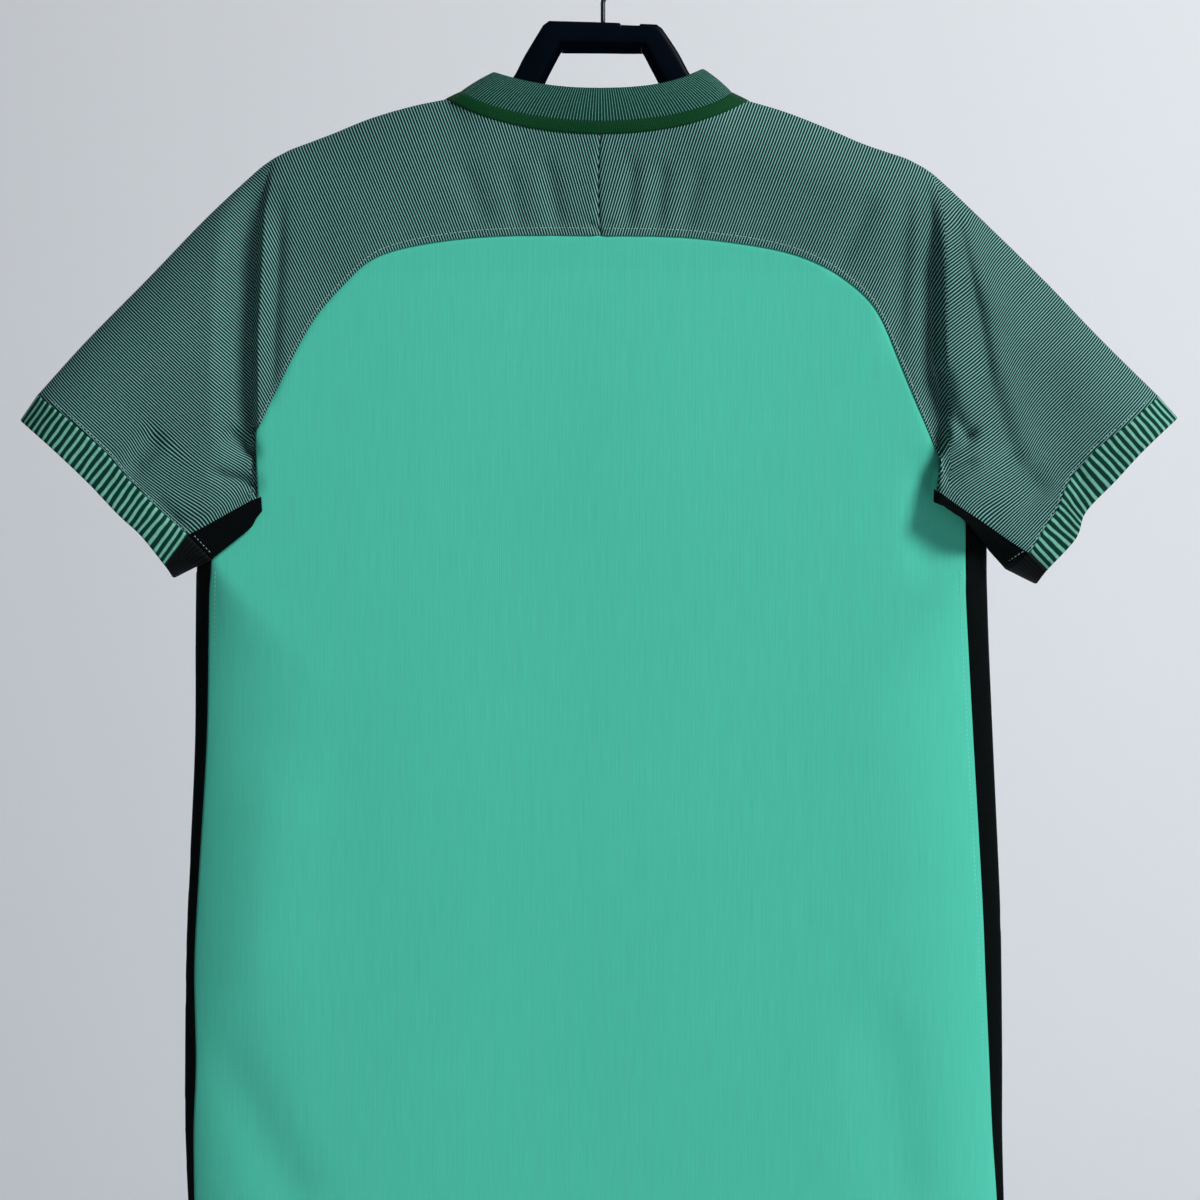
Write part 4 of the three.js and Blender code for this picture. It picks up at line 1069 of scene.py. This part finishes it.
def cloth_lengths(rows_of_points):
    """Cloth coordinates in metres by lengths along the first row and down the columns."""
    along = added_up(steps(rows_of_points[0]))
    down = added_up(steps(rows_of_points).mean(axis=1))
    return np.stack(np.broadcast_arrays(along[None, :], down[:, None]), axis=2) * MM


def face_from_middle(bm, outer_rows):
    """Turns the band so that its outer layer faces away from its middle."""
    bm.normal_update()
    middle = sum((v.co for v in bm.verts), Vector()) / len(bm.verts)
    outer = max(1, len(bm.faces) * (outer_rows - 1) // (2 * outer_rows + 4))
    lay = sorted(bm.faces, key=lambda f: f.index)[:outer]
    if sum(face.calc_area() * face.normal.dot(face.calc_center_median() - middle) for face in lay) < 0:
        bmesh.ops.reverse_faces(bm, faces=bm.faces[:])


def rib_band(s, c, name, material, half=None):
    """Doubled rib band over the shares c of the cuff; its stripes are counted from share half."""
    bm = bmesh.new()
    rows = band_rows(lambda c, v: cuff_ring(s, c, v), c)
    if half is None:
        cloth = cloth_lengths(rows)
    else:  # counted across the arm, so that the stripes of back and front run on into each other
        cloth = cloth_lengths(rows * (1.0, 0.4, 1.0))
        cloth[..., 0] -= cloth[0, half, 0]
    laid_rows(bm, rows, cloth)
    face_from_middle(bm, BAND_ROWS)
    return finish_piece(bm, f"{name}_cloth", name, material, settings().rib_wall)


def cuff(s):
    """Striped rib band of the cuff, cut double and folded at its open edge."""
    black = (1 - CUFF_BLACK) / 2
    half = black + (0.5 - black) * (1 - (1 - np.linspace(0, 1, 150)) ** 1.5)
    material = once("cuff_rib", lambda: striped_rib(
        "cuff_rib", settings().cuff_bar, settings().cuff_dark, settings().cuff_light, 0.4, 0.35))
    return rib_band(s, np.concatenate([half, 1 - half[::-1][1:]]), f"cuff_{SIDES[s]}", material, len(half) - 1)


def cuff_under(s):
    """Short black part of the cuff band under the arm; it ends where the striped band begins."""
    half = (1 - CUFF_BLACK) / 2 * (1 - np.linspace(0, 1, 18)) ** 1.7
    material = once("black_rib", lambda: striped_rib(
        "black_rib", settings().black_rib, settings().black, settings().black_line, 0.14, 0.2))
    return rib_band(s, np.concatenate([half, 1 - half[::-1][1:]]), f"cuff_under_{SIDES[s]}", material)


def neck_pair(s, k):
    """The neck ring at position k: its seam point, its collar top and the pinch between them."""
    front, off_point = k > NECK_POINT, abs(k - NECK_POINT)
    if not front:
        seam = lifted(top_at(s, np.array([k])), "back", True)[0]
    else:
        past = np.array([k - NECK_POINT])
        if k <= NECK_POINT + 1:
            flat = station_point(s, np.array([float(NECK_POINT)]), 1 - past, "front")
        else:
            flat = curve(NECK_FRONT[s], past, [1])
        seam = lifted(flat, "front")[0]
    if off_point < 1e-6:
        seam[1] = 0
    crown = curve(COLLAR_TOP[s], np.array([k]), [NECK_POINT])[0]
    depth = curve(np.array(COLLAR_DEPTH, float)[:, None], np.array([k]), [NECK_POINT])[0][0]
    if off_point < 1:
        whole = COLLAR_DEPTH[5] if front else COLLAR_DEPTH[3]
        depth = whole * float(rounded(off_point * 0.62) / rounded(0.62))
    top = np.array([[crown[0], -depth, crown[1]]])
    if depth > 0:
        top = towards_camera(top)
    return seam, top[0], -OUTWARD[s] * TRIM_PINCH[s] * max(0.0, 1 - off_point) ** 2


def neck_ring():
    """The ring's pairs, closest together round the neck points."""
    near = np.linspace(0, 1, 22)
    half = np.concatenate([4 - 4 * (1 - near), 4 + near[1:] ** 1.6, 5 + 3 * np.linspace(0, 1, 20)[1:]])
    ring = [(0, k) for k in half] + [(1, k) for k in half[::-1][1:]]
    return [neck_pair(s, float(k)) for s, k in ring]


def collar_and_trim():
    """The striped stand-up rib and the dark trim below it, each a closed ring."""
    seams, crowns, pinch = (np.array(part) for part in zip(*neck_ring()))
    swell = 2.2  # how far the band stands out at half its height

    def row(v, inward=0.0, up=0.0):
        point = seams + (crowns - seams) * v
        point[:, 0] += pinch * min(v / TRIM_SHARE, (1 - v) / (1 - TRIM_SHARE))
        out = unit(point * (0.25, 1, 0))
        return point + out * (swell * 4 * v * (1 - v) - inward) + unit(crowns - seams) * up

    def trim_row(v):
        return row(v, -0.25 - 0.25 * math.sin(math.pi * (v + 0.02) / (TRIM_SHARE + 0.04)))

    foot = [row(v) for v in np.linspace(TRIM_SHARE, 1, 16)]
    over = [row(1.0, COLLAR_FOLD * (1 - math.cos(t)), COLLAR_FOLD * math.sin(t))
            for t in np.linspace(0, math.pi, 7)[1:]]
    inside = [row(v, 2 * COLLAR_FOLD) for v in np.linspace(1, TRIM_SHARE, 14)[1:]]
    band = np.array(foot + over + inside)
    trim = np.array([trim_row(v) for v in np.linspace(0.0, TRIM_SHARE + 0.02, 8)])
    top_edge = float(cloth_lengths(band)[len(foot) + 2, 0, 1])
    dark, light = settings().collar_dark, settings().collar_light
    rib = once("collar_rib", lambda: striped_rib(
        "collar_rib", settings().collar_line, dark, light, 0.2, 0.1, top_edge))
    made = []
    for rows, name, material, outer_rows, wall in (
        (band, "collar", rib, len(foot), settings().rib_wall),
        (trim, "collar_trim", once("trim_rib", trim_rib), 2, 1.4),
    ):
        bm = bmesh.new()
        laid_rows(bm, rows, cloth_lengths(rows))
        bmesh.ops.remove_doubles(bm, verts=bm.verts[:], dist=1e-5)
        face_from_middle(bm, outer_rows)
        made.append(finish_piece(bm, f"{name}_knit", name, material, wall))
    return made


def hanger_body():
    """Moulded hanger with rounded edges, along its outer and inner line."""
    outer, inner = (np.array([row[k] for row in HANGER], float) for k in (0, 1))
    last, round_over, squareness = len(HANGER) - 1, 0.35, 7
    sections, sides, close = 4 * last + 1, 40, 14
    at = np.unique(np.concatenate([np.linspace(0, last, sections), np.linspace(0, 0.4, close),
                                   np.linspace(last - 0.4, last, close)]))
    line_out, line_in = curve(outer, at, HANDLE_CORNERS_OUT), curve(inner, at, HANDLE_CORNERS_IN)
    deep = np.interp(at, np.arange(last + 1), [row[2] for row in HANGER])
    angles = np.linspace(0, 2 * math.pi, sides + 1)

    def place(u, v):
        i = np.rint(u * (len(at) - 1)).astype(int)
        a = angles[np.rint(v * sides).astype(int)]
        shrink = rounded(np.minimum(at[i], last - at[i]) / round_over)
        ca, sa = np.cos(a), np.sin(a)
        box = (np.abs(ca) ** squareness + np.abs(sa) ** squareness) ** (-1 / squareness)
        flat = mix(line_out[i], line_in[i], 0.5 + 0.5 * ca * box * shrink)
        points = np.stack([flat[:, 0], 0.5 * deep[i] * sa * box * shrink, flat[:, 1]], axis=1)
        return points, np.stack([at[i] * 15, a * 8], axis=1) * MM
    bm = bmesh.new()
    lay_grid(bm, len(at) - 1, sides, place)
    bmesh.ops.remove_doubles(bm, verts=bm.verts[:], dist=1e-5)
    bmesh.ops.recalc_face_normals(bm, faces=bm.faces[:])
    piece = finish_piece(bm, "hanger_moulding", "hanger", once("satin_plastic", satin_plastic))
    # a copy of the plastic without reflections paints the handle's inside as shaded
    piece.data.materials.append(once("plastic_painted_shade", lambda: satin_plastic("plastic_painted_shade", 0.0)))
    middle = Vector(HANDLE_MIDDLE) * MM
    # inner faces turned towards the handle's middle take that painted shade
    for face in piece.data.polygons:
        inward = (middle - face.center) * Vector((1, 0, 1))
        if inward.length < HANDLE_REACH * MM and face.normal.dot(inward.normalized()) > 0.25:
            face.material_index = 1
    return piece


def hook_wire():
    """Bent wire hook with rounded ends."""
    radius = HOOK_RADIUS + WIRE / 2
    arc = np.radians(np.arange(-55, 200.1, 5))
    bend = np.stack([radius * np.cos(arc), -HOOK_RADIUS + radius * np.sin(arc)], axis=1)
    path = np.vstack([HOOK_STEM, bend])
    at = np.linspace(0, len(path) - 1, 190)
    line = curve(path, at)
    slope = unit(np.gradient(line, axis=0))
    run = added_up(steps(line))

    def place(u, v):
        i = np.rint(u * (len(at) - 1)).astype(int)
        a = v * 2 * math.pi
        size = WIRE / 2 * rounded(np.minimum(run[i] + 0.05, run[-1] - run[i]) / (WIRE / 2))
        side = np.stack([slope[i][:, 1], -slope[i][:, 0]], axis=1)
        flat = line[i] + side * (np.cos(a) * size)[:, None]
        points = np.stack([flat[:, 0], np.sin(a) * size, flat[:, 1]], axis=1)
        return points, np.stack([a * WIRE / 2, run[i]], axis=1) * MM
    bm = bmesh.new()
    lay_grid(bm, len(at) - 1, 20, place)
    bmesh.ops.remove_doubles(bm, verts=bm.verts[:], dist=1e-5)
    bmesh.ops.holes_fill(bm, edges=bm.edges[:], sides=24)
    bmesh.ops.recalc_face_normals(bm, faces=bm.faces[:])
    return finish_piece(bm, "hook_wire", "hook", once("drawn_steel", drawn_steel))


# ---------- stitches ----------
def stitch_row(flat, face, of_sleeve, lift, length=STITCH, gap=STITCH_GAP, thick=STITCH_WIDTH):
    """Placings of short stitches along a flat line, lifted onto the cloth."""
    points = lifted(flat, face, of_sleeve, lift)
    run = added_up(steps(points))
    middles = (np.arange(int(run[-1] // (length + gap))) + 0.5) * (length + gap)
    start, end = (np.stack([np.interp(middles + half, run, points[:, k]) for k in range(3)], axis=1)
                  for half in (-length / 2, length / 2))
    way = unit(end - start)
    side = unit(np.cross(way, np.array(TOWARDS[face], float)))
    return (start + end) / 2, way * length / 2, side * thick / 2, np.cross(side, way) * thick / 2


def sew(name, rows, material):
    """Rows of stitches as one piece: a thread bead, copied and laid along each placing."""
    middle, way, side, out = (np.concatenate([row[i] for row in rows]) for i in range(4))
    bm = bmesh.new()
    bmesh.ops.create_uvsphere(bm, u_segments=6, v_segments=4, radius=1.0)
    bead = np.array([v.co for v in bm.verts])
    copies = 1
    beads = bpy.data.meshes.new("beads")
    while copies < len(middle):
        bm.to_mesh(beads)
        bm.free()
        bm = bmesh.new()
        bm.from_mesh(beads)
        bm.from_mesh(beads)
        copies *= 2
    bpy.data.meshes.remove(beads)
    places = np.array([v.co for v in bm.verts])
    if not np.allclose(places, np.tile(bead, (copies, 1)), atol=1e-6):
        raise RuntimeError("the copied stitches are out of order")
    bm.verts.ensure_lookup_table()
    spans = ((2, way), (0, side), (1, out))  # the bead's own axes along, across and off the cloth
    laid = middle[:, None] + sum(bead[None, :, k:k + 1] * span[:, None] for k, span in spans)
    for v, point in zip(bm.verts, laid.reshape(-1, 3)):
        v.co = Vector(point) * MM
    spare = bm.verts[len(middle) * len(bead):]
    bmesh.ops.delete(bm, geom=spare, context="VERTS")
    return finish_piece(bm, name, None, material)


def stitches():
    """Coverstitch rows beside the seams, at the hem and at the cuffs."""
    pale = once("pale_thread", lambda: thread("pale_thread", settings().thread))
    mint = once("mint_thread", lambda: thread("mint_thread", settings().mint_thread))
    from_seam, from_cuff, from_side = 4.0, 3.0 / 50.0, 3.6
    for s in (0, 1):
        rows = []
        back_end = (10.4, 11.8)[s]  # the back's row ends where the seam goes under the fold
        for face, low, stations in (("back", seam_at, np.linspace(0.05, back_end, 260)),
                                    ("front", front_at, np.linspace(4.1, 11.9, 200))):
            length = np.linalg.norm(top_at(s, stations) - low(s, stations), axis=1)
            rows.append(stitch_row(station_point(s, stations, from_seam / length, face), face, True, 0.75))
            cuff_row = station_point(s, np.full(120, CUFF - from_cuff), np.linspace(0.02, 0.985, 120), face)
            rows.append(stitch_row(cuff_row, face, True, 0.7))
        sew(f"stitches_sleeve_{SIDES[s]}", rows, pale)
        near_cuff = np.full(60, 15.8)
        row = mix(seam_at(s, near_cuff), under_at(s, near_cuff), np.linspace(0.08, 0.9, 60))
        sew(f"stitches_gusset_{SIDES[s]}", [stitch_row(row, "back", True, 0.9, 1.6, 1.1)], pale)
        q = np.linspace(4.6, 13.9, 260)
        seam = side_seam(s, q)
        row = seam + unit(seam - side_edge(s, q)) * from_side
        sew(f"stitches_side_{SIDES[s]}", [stitch_row(row, "back", False, 0.75, thick=0.45)], mint)
    across = np.linspace(-268, 263, 260)
    for face in ("back", "front"):
        lines = [np.stack([across, np.full(260, HEM + up)], axis=1) for up in HEM_STITCHES]
        sew(f"stitches_hem_{face}", [stitch_row(line, face, False, 0.8) for line in lines], mint)


# ---------- stage ----------
def matt_paint(name, colour, rough):
    """Paint with a faint mottle."""
    material, tree, skin = new_material(name)
    mottle = noise(tree, object_coordinate(tree), 1.2, 2.0)
    shaded = tuple(0.985 * c for c in colour)
    finish_skin(tree, skin, blend_colour(tree, mottle, shaded, colour), Roughness=rough)
    return material


def stage():
    """Camera, floor, wall and studio light."""
    scene = bpy.context.scene
    sensor = 36.0
    camera = bpy.data.objects.new("camera", bpy.data.cameras.new("camera"))
    camera.data.sensor_width = sensor
    camera.data.lens = sensor * CAMERA_DISTANCE / PICTURE_WIDTH
    camera.location = (0, -CAMERA_DISTANCE * MM, CAMERA_HEIGHT * MM)
    camera.rotation_euler = (math.pi / 2, 0, 0)
    scene.collection.objects.link(camera)
    scene.camera = camera
    scene.view_settings.view_transform = "Standard"

    wall_paint = matt_paint("wall_paint", settings().wall, 0.9)
    for name, turn, place, size in (
        ("floor", 0, (0, 0, -1.7), 9.0),
        ("wall", math.pi / 2, (0, 2.6, 0.6), 9.0),
    ):
        bm = bmesh.new()
        bmesh.ops.create_grid(bm, x_segments=8, y_segments=8, size=size)
        bmesh.ops.rotate(bm, verts=bm.verts[:], cent=(0, 0, 0), matrix=Matrix.Rotation(turn, 3, "X"))
        bmesh.ops.translate(bm, verts=bm.verts[:], vec=place)
        mesh = bpy.data.meshes.new(name)
        bm.to_mesh(mesh)
        bm.free()
        surface = bpy.data.objects.new(name, mesh)
        mesh.materials.append(wall_paint)
        scene.collection.objects.link(surface)
    for name, place, size, power, colour in (
        ("key", (3.3, -2.9, 3.0), 1.6, 330.0, (1.0, 0.985, 0.96)),
        ("front", (-1.2, -3.4, 0.2), 3.0, 3.5, (0.93, 0.97, 1.0)),
    ):
        light = bpy.data.lights.new(name, "AREA")
        light.shape = "SQUARE"
        light.size = size
        light.energy = power
        light.color = colour
        lamp = bpy.data.objects.new(name, light)
        lamp.location = place
        lamp.visible_glossy = name == "key"
        aim = Vector((0, 0, -0.4)) - Vector(place)
        lamp.rotation_euler = aim.to_track_quat("-Z", "Y").to_euler()
        scene.collection.objects.link(lamp)
    world = bpy.data.worlds.new("studio")
    world.use_nodes = True
    background = world.node_tree.nodes["Background"]
    background.inputs["Color"].default_value = (0.86, 0.9, 0.94, 1)
    background.inputs["Strength"].default_value = 0.075
    scene.world = world


# ---------- add-on ----------
def srgb(r, g, b):
    """Linear colour of screen values from 0 to 255."""
    return tuple(c / 255 / 12.92 if c <= 10 else ((c / 255 + 0.055) / 1.055) ** 2.4 for c in (r, g, b))


def colour_property(label, text, value):
    return FloatVectorProperty(name=label, description=text, default=value, min=0.0, max=1.0, size=3,
                               subtype="COLOR")


def wall_property(label, text, value):
    return FloatProperty(name=label, description=text, default=value, min=0.4, max=1.5)


def period_property(label, text, value):
    return FloatProperty(name=label, description=text, default=value, min=0.001, max=0.02, precision=4,
                         subtype="DISTANCE", unit="LENGTH")


class JerseySettings(bpy.types.PropertyGroup):
    """Sizes and colours that a user would change"""
    knit_wall: wall_property("Knit wall", "Thickness of the knit in millimetres", 1.0)
    rib_wall: wall_property("Rib wall", "Thickness of one rib layer in millimetres", 0.95)
    stripe_period: period_property("Stripe period", "From one light yarn line to the next", 0.0017)
    cuff_bar: period_property("Cuff bar period", "From one light cuff bar to the next", 0.005)
    black_rib: period_property("Black rib period", "Between faint lines of the cuff's black part", 0.0029)
    collar_line: period_property("Collar line period", "From one light line of the collar to the next", 0.0021)
    mint: colour_property("Mint", "Main knit", srgb(75, 192, 168))
    stripe_dark: colour_property("Stripe ground", "Dark yarn of the yoke and sleeves", srgb(0, 37, 35))
    stripe_light: colour_property("Stripe line", "Light yarn of the yoke and sleeves", srgb(128, 186, 180))
    collar_dark: colour_property("Collar ground", "Dark yarn of the collar", srgb(1, 50, 40))
    collar_light: colour_property("Collar line", "Light yarn of the collar", srgb(100, 162, 150))
    cuff_dark: colour_property("Cuff ground", "Dark bars of the cuffs", srgb(0, 52, 39))
    cuff_light: colour_property("Cuff bar", "Light bars of the cuffs", srgb(112, 178, 162))
    black: colour_property("Black mesh", "Side strips and gussets", srgb(4, 8, 9))
    black_line: colour_property("Black rib line", "Faint lines of the cuff's black part", srgb(30, 32, 38))
    trim: colour_property("Neck trim", "Dark green trim", srgb(2, 58, 28))
    thread: colour_property("Pale thread", "Topstitching of the yoke", srgb(150, 190, 182))
    mint_thread: colour_property("Mint thread", "Coverstitch of the side seams and the hem", srgb(138, 214, 192))
    plastic: colour_property("Hanger", "Moulded plastic", srgb(3, 8, 16))
    steel: colour_property("Hook", "Drawn wire", srgb(96, 100, 106))
    wall: colour_property("Wall", "Wall and floor paint", srgb(239, 243, 249))


class JERSEY_OT_body(bpy.types.Operator):
    """Back and front panels with their black side strips"""
    bl_idname = "jersey.body"
    bl_label = "Body panels"

    def execute(self, context):
        back_panel()
        front_panel()
        for s in (0, 1):
            side_strip(s)
        return {"FINISHED"}


class JERSEY_OT_sleeves(bpy.types.Operator):
    """Raglan sleeves with the yoke and their underarm gussets"""
    bl_idname = "jersey.sleeves"
    bl_label = "Sleeves"

    def execute(self, context):
        for s in (0, 1):
            sleeve(s)
            gusset(s)
        return {"FINISHED"}


class JERSEY_OT_cuffs(bpy.types.Operator):
    """Rib cuffs and their black underarm parts"""
    bl_idname = "jersey.cuffs"
    bl_label = "Cuffs"

    def execute(self, context):
        for s in (0, 1):
            cuff(s)
            cuff_under(s)
        return {"FINISHED"}


class JERSEY_OT_collar(bpy.types.Operator):
    """Striped collar and dark neck trim"""
    bl_idname = "jersey.collar"
    bl_label = "Collar"

    def execute(self, context):
        for piece, name in zip(collar_and_trim(), ("collar", "collar_trim")):
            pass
        return {"FINISHED"}


class JERSEY_OT_stitches(bpy.types.Operator):
    """Topstitching along the seams and the hem"""
    bl_idname = "jersey.stitches"
    bl_label = "Stitches"

    def execute(self, context):
        stitches()
        return {"FINISHED"}


class JERSEY_OT_hanger(bpy.types.Operator):
    """Plastic hanger and its wire hook"""
    bl_idname = "jersey.hanger"
    bl_label = "Hanger"

    def execute(self, context):
        hanger_body()
        hook_wire()
        return {"FINISHED"}


class JERSEY_OT_stage(bpy.types.Operator):
    """Camera, floor, wall and studio light"""
    bl_idname = "jersey.stage"
    bl_label = "Stage"

    def execute(self, context):
        stage()
        return {"FINISHED"}


OPERATORS = (JERSEY_OT_body, JERSEY_OT_sleeves, JERSEY_OT_cuffs, JERSEY_OT_collar, JERSEY_OT_stitches,
             JERSEY_OT_hanger, JERSEY_OT_stage)


class JERSEY_PT_panel(bpy.types.Panel):
    """Lists the jersey's steps"""
    bl_idname = "JERSEY_PT_panel"
    bl_label = "Jersey"
    bl_space_type = "VIEW_3D"
    bl_region_type = "UI"
    bl_category = "Jersey"

    def draw(self, context):
        for operator in OPERATORS:
            self.layout.operator(operator.bl_idname)


def register():
    for cls in (JerseySettings, *OPERATORS, JERSEY_PT_panel):
        bpy.utils.register_class(cls)
    bpy.types.Scene.jersey = PointerProperty(type=JerseySettings)


def unregister():
    del bpy.types.Scene.jersey
    for cls in (JERSEY_PT_panel, *reversed(OPERATORS), JerseySettings):
        bpy.utils.unregister_class(cls)


def main():
    register()
    for step in ("body", "sleeves", "cuffs", "collar", "stitches", "hanger", "stage"):
        getattr(bpy.ops.jersey, step)()


if __name__ == "__main__":
    main()
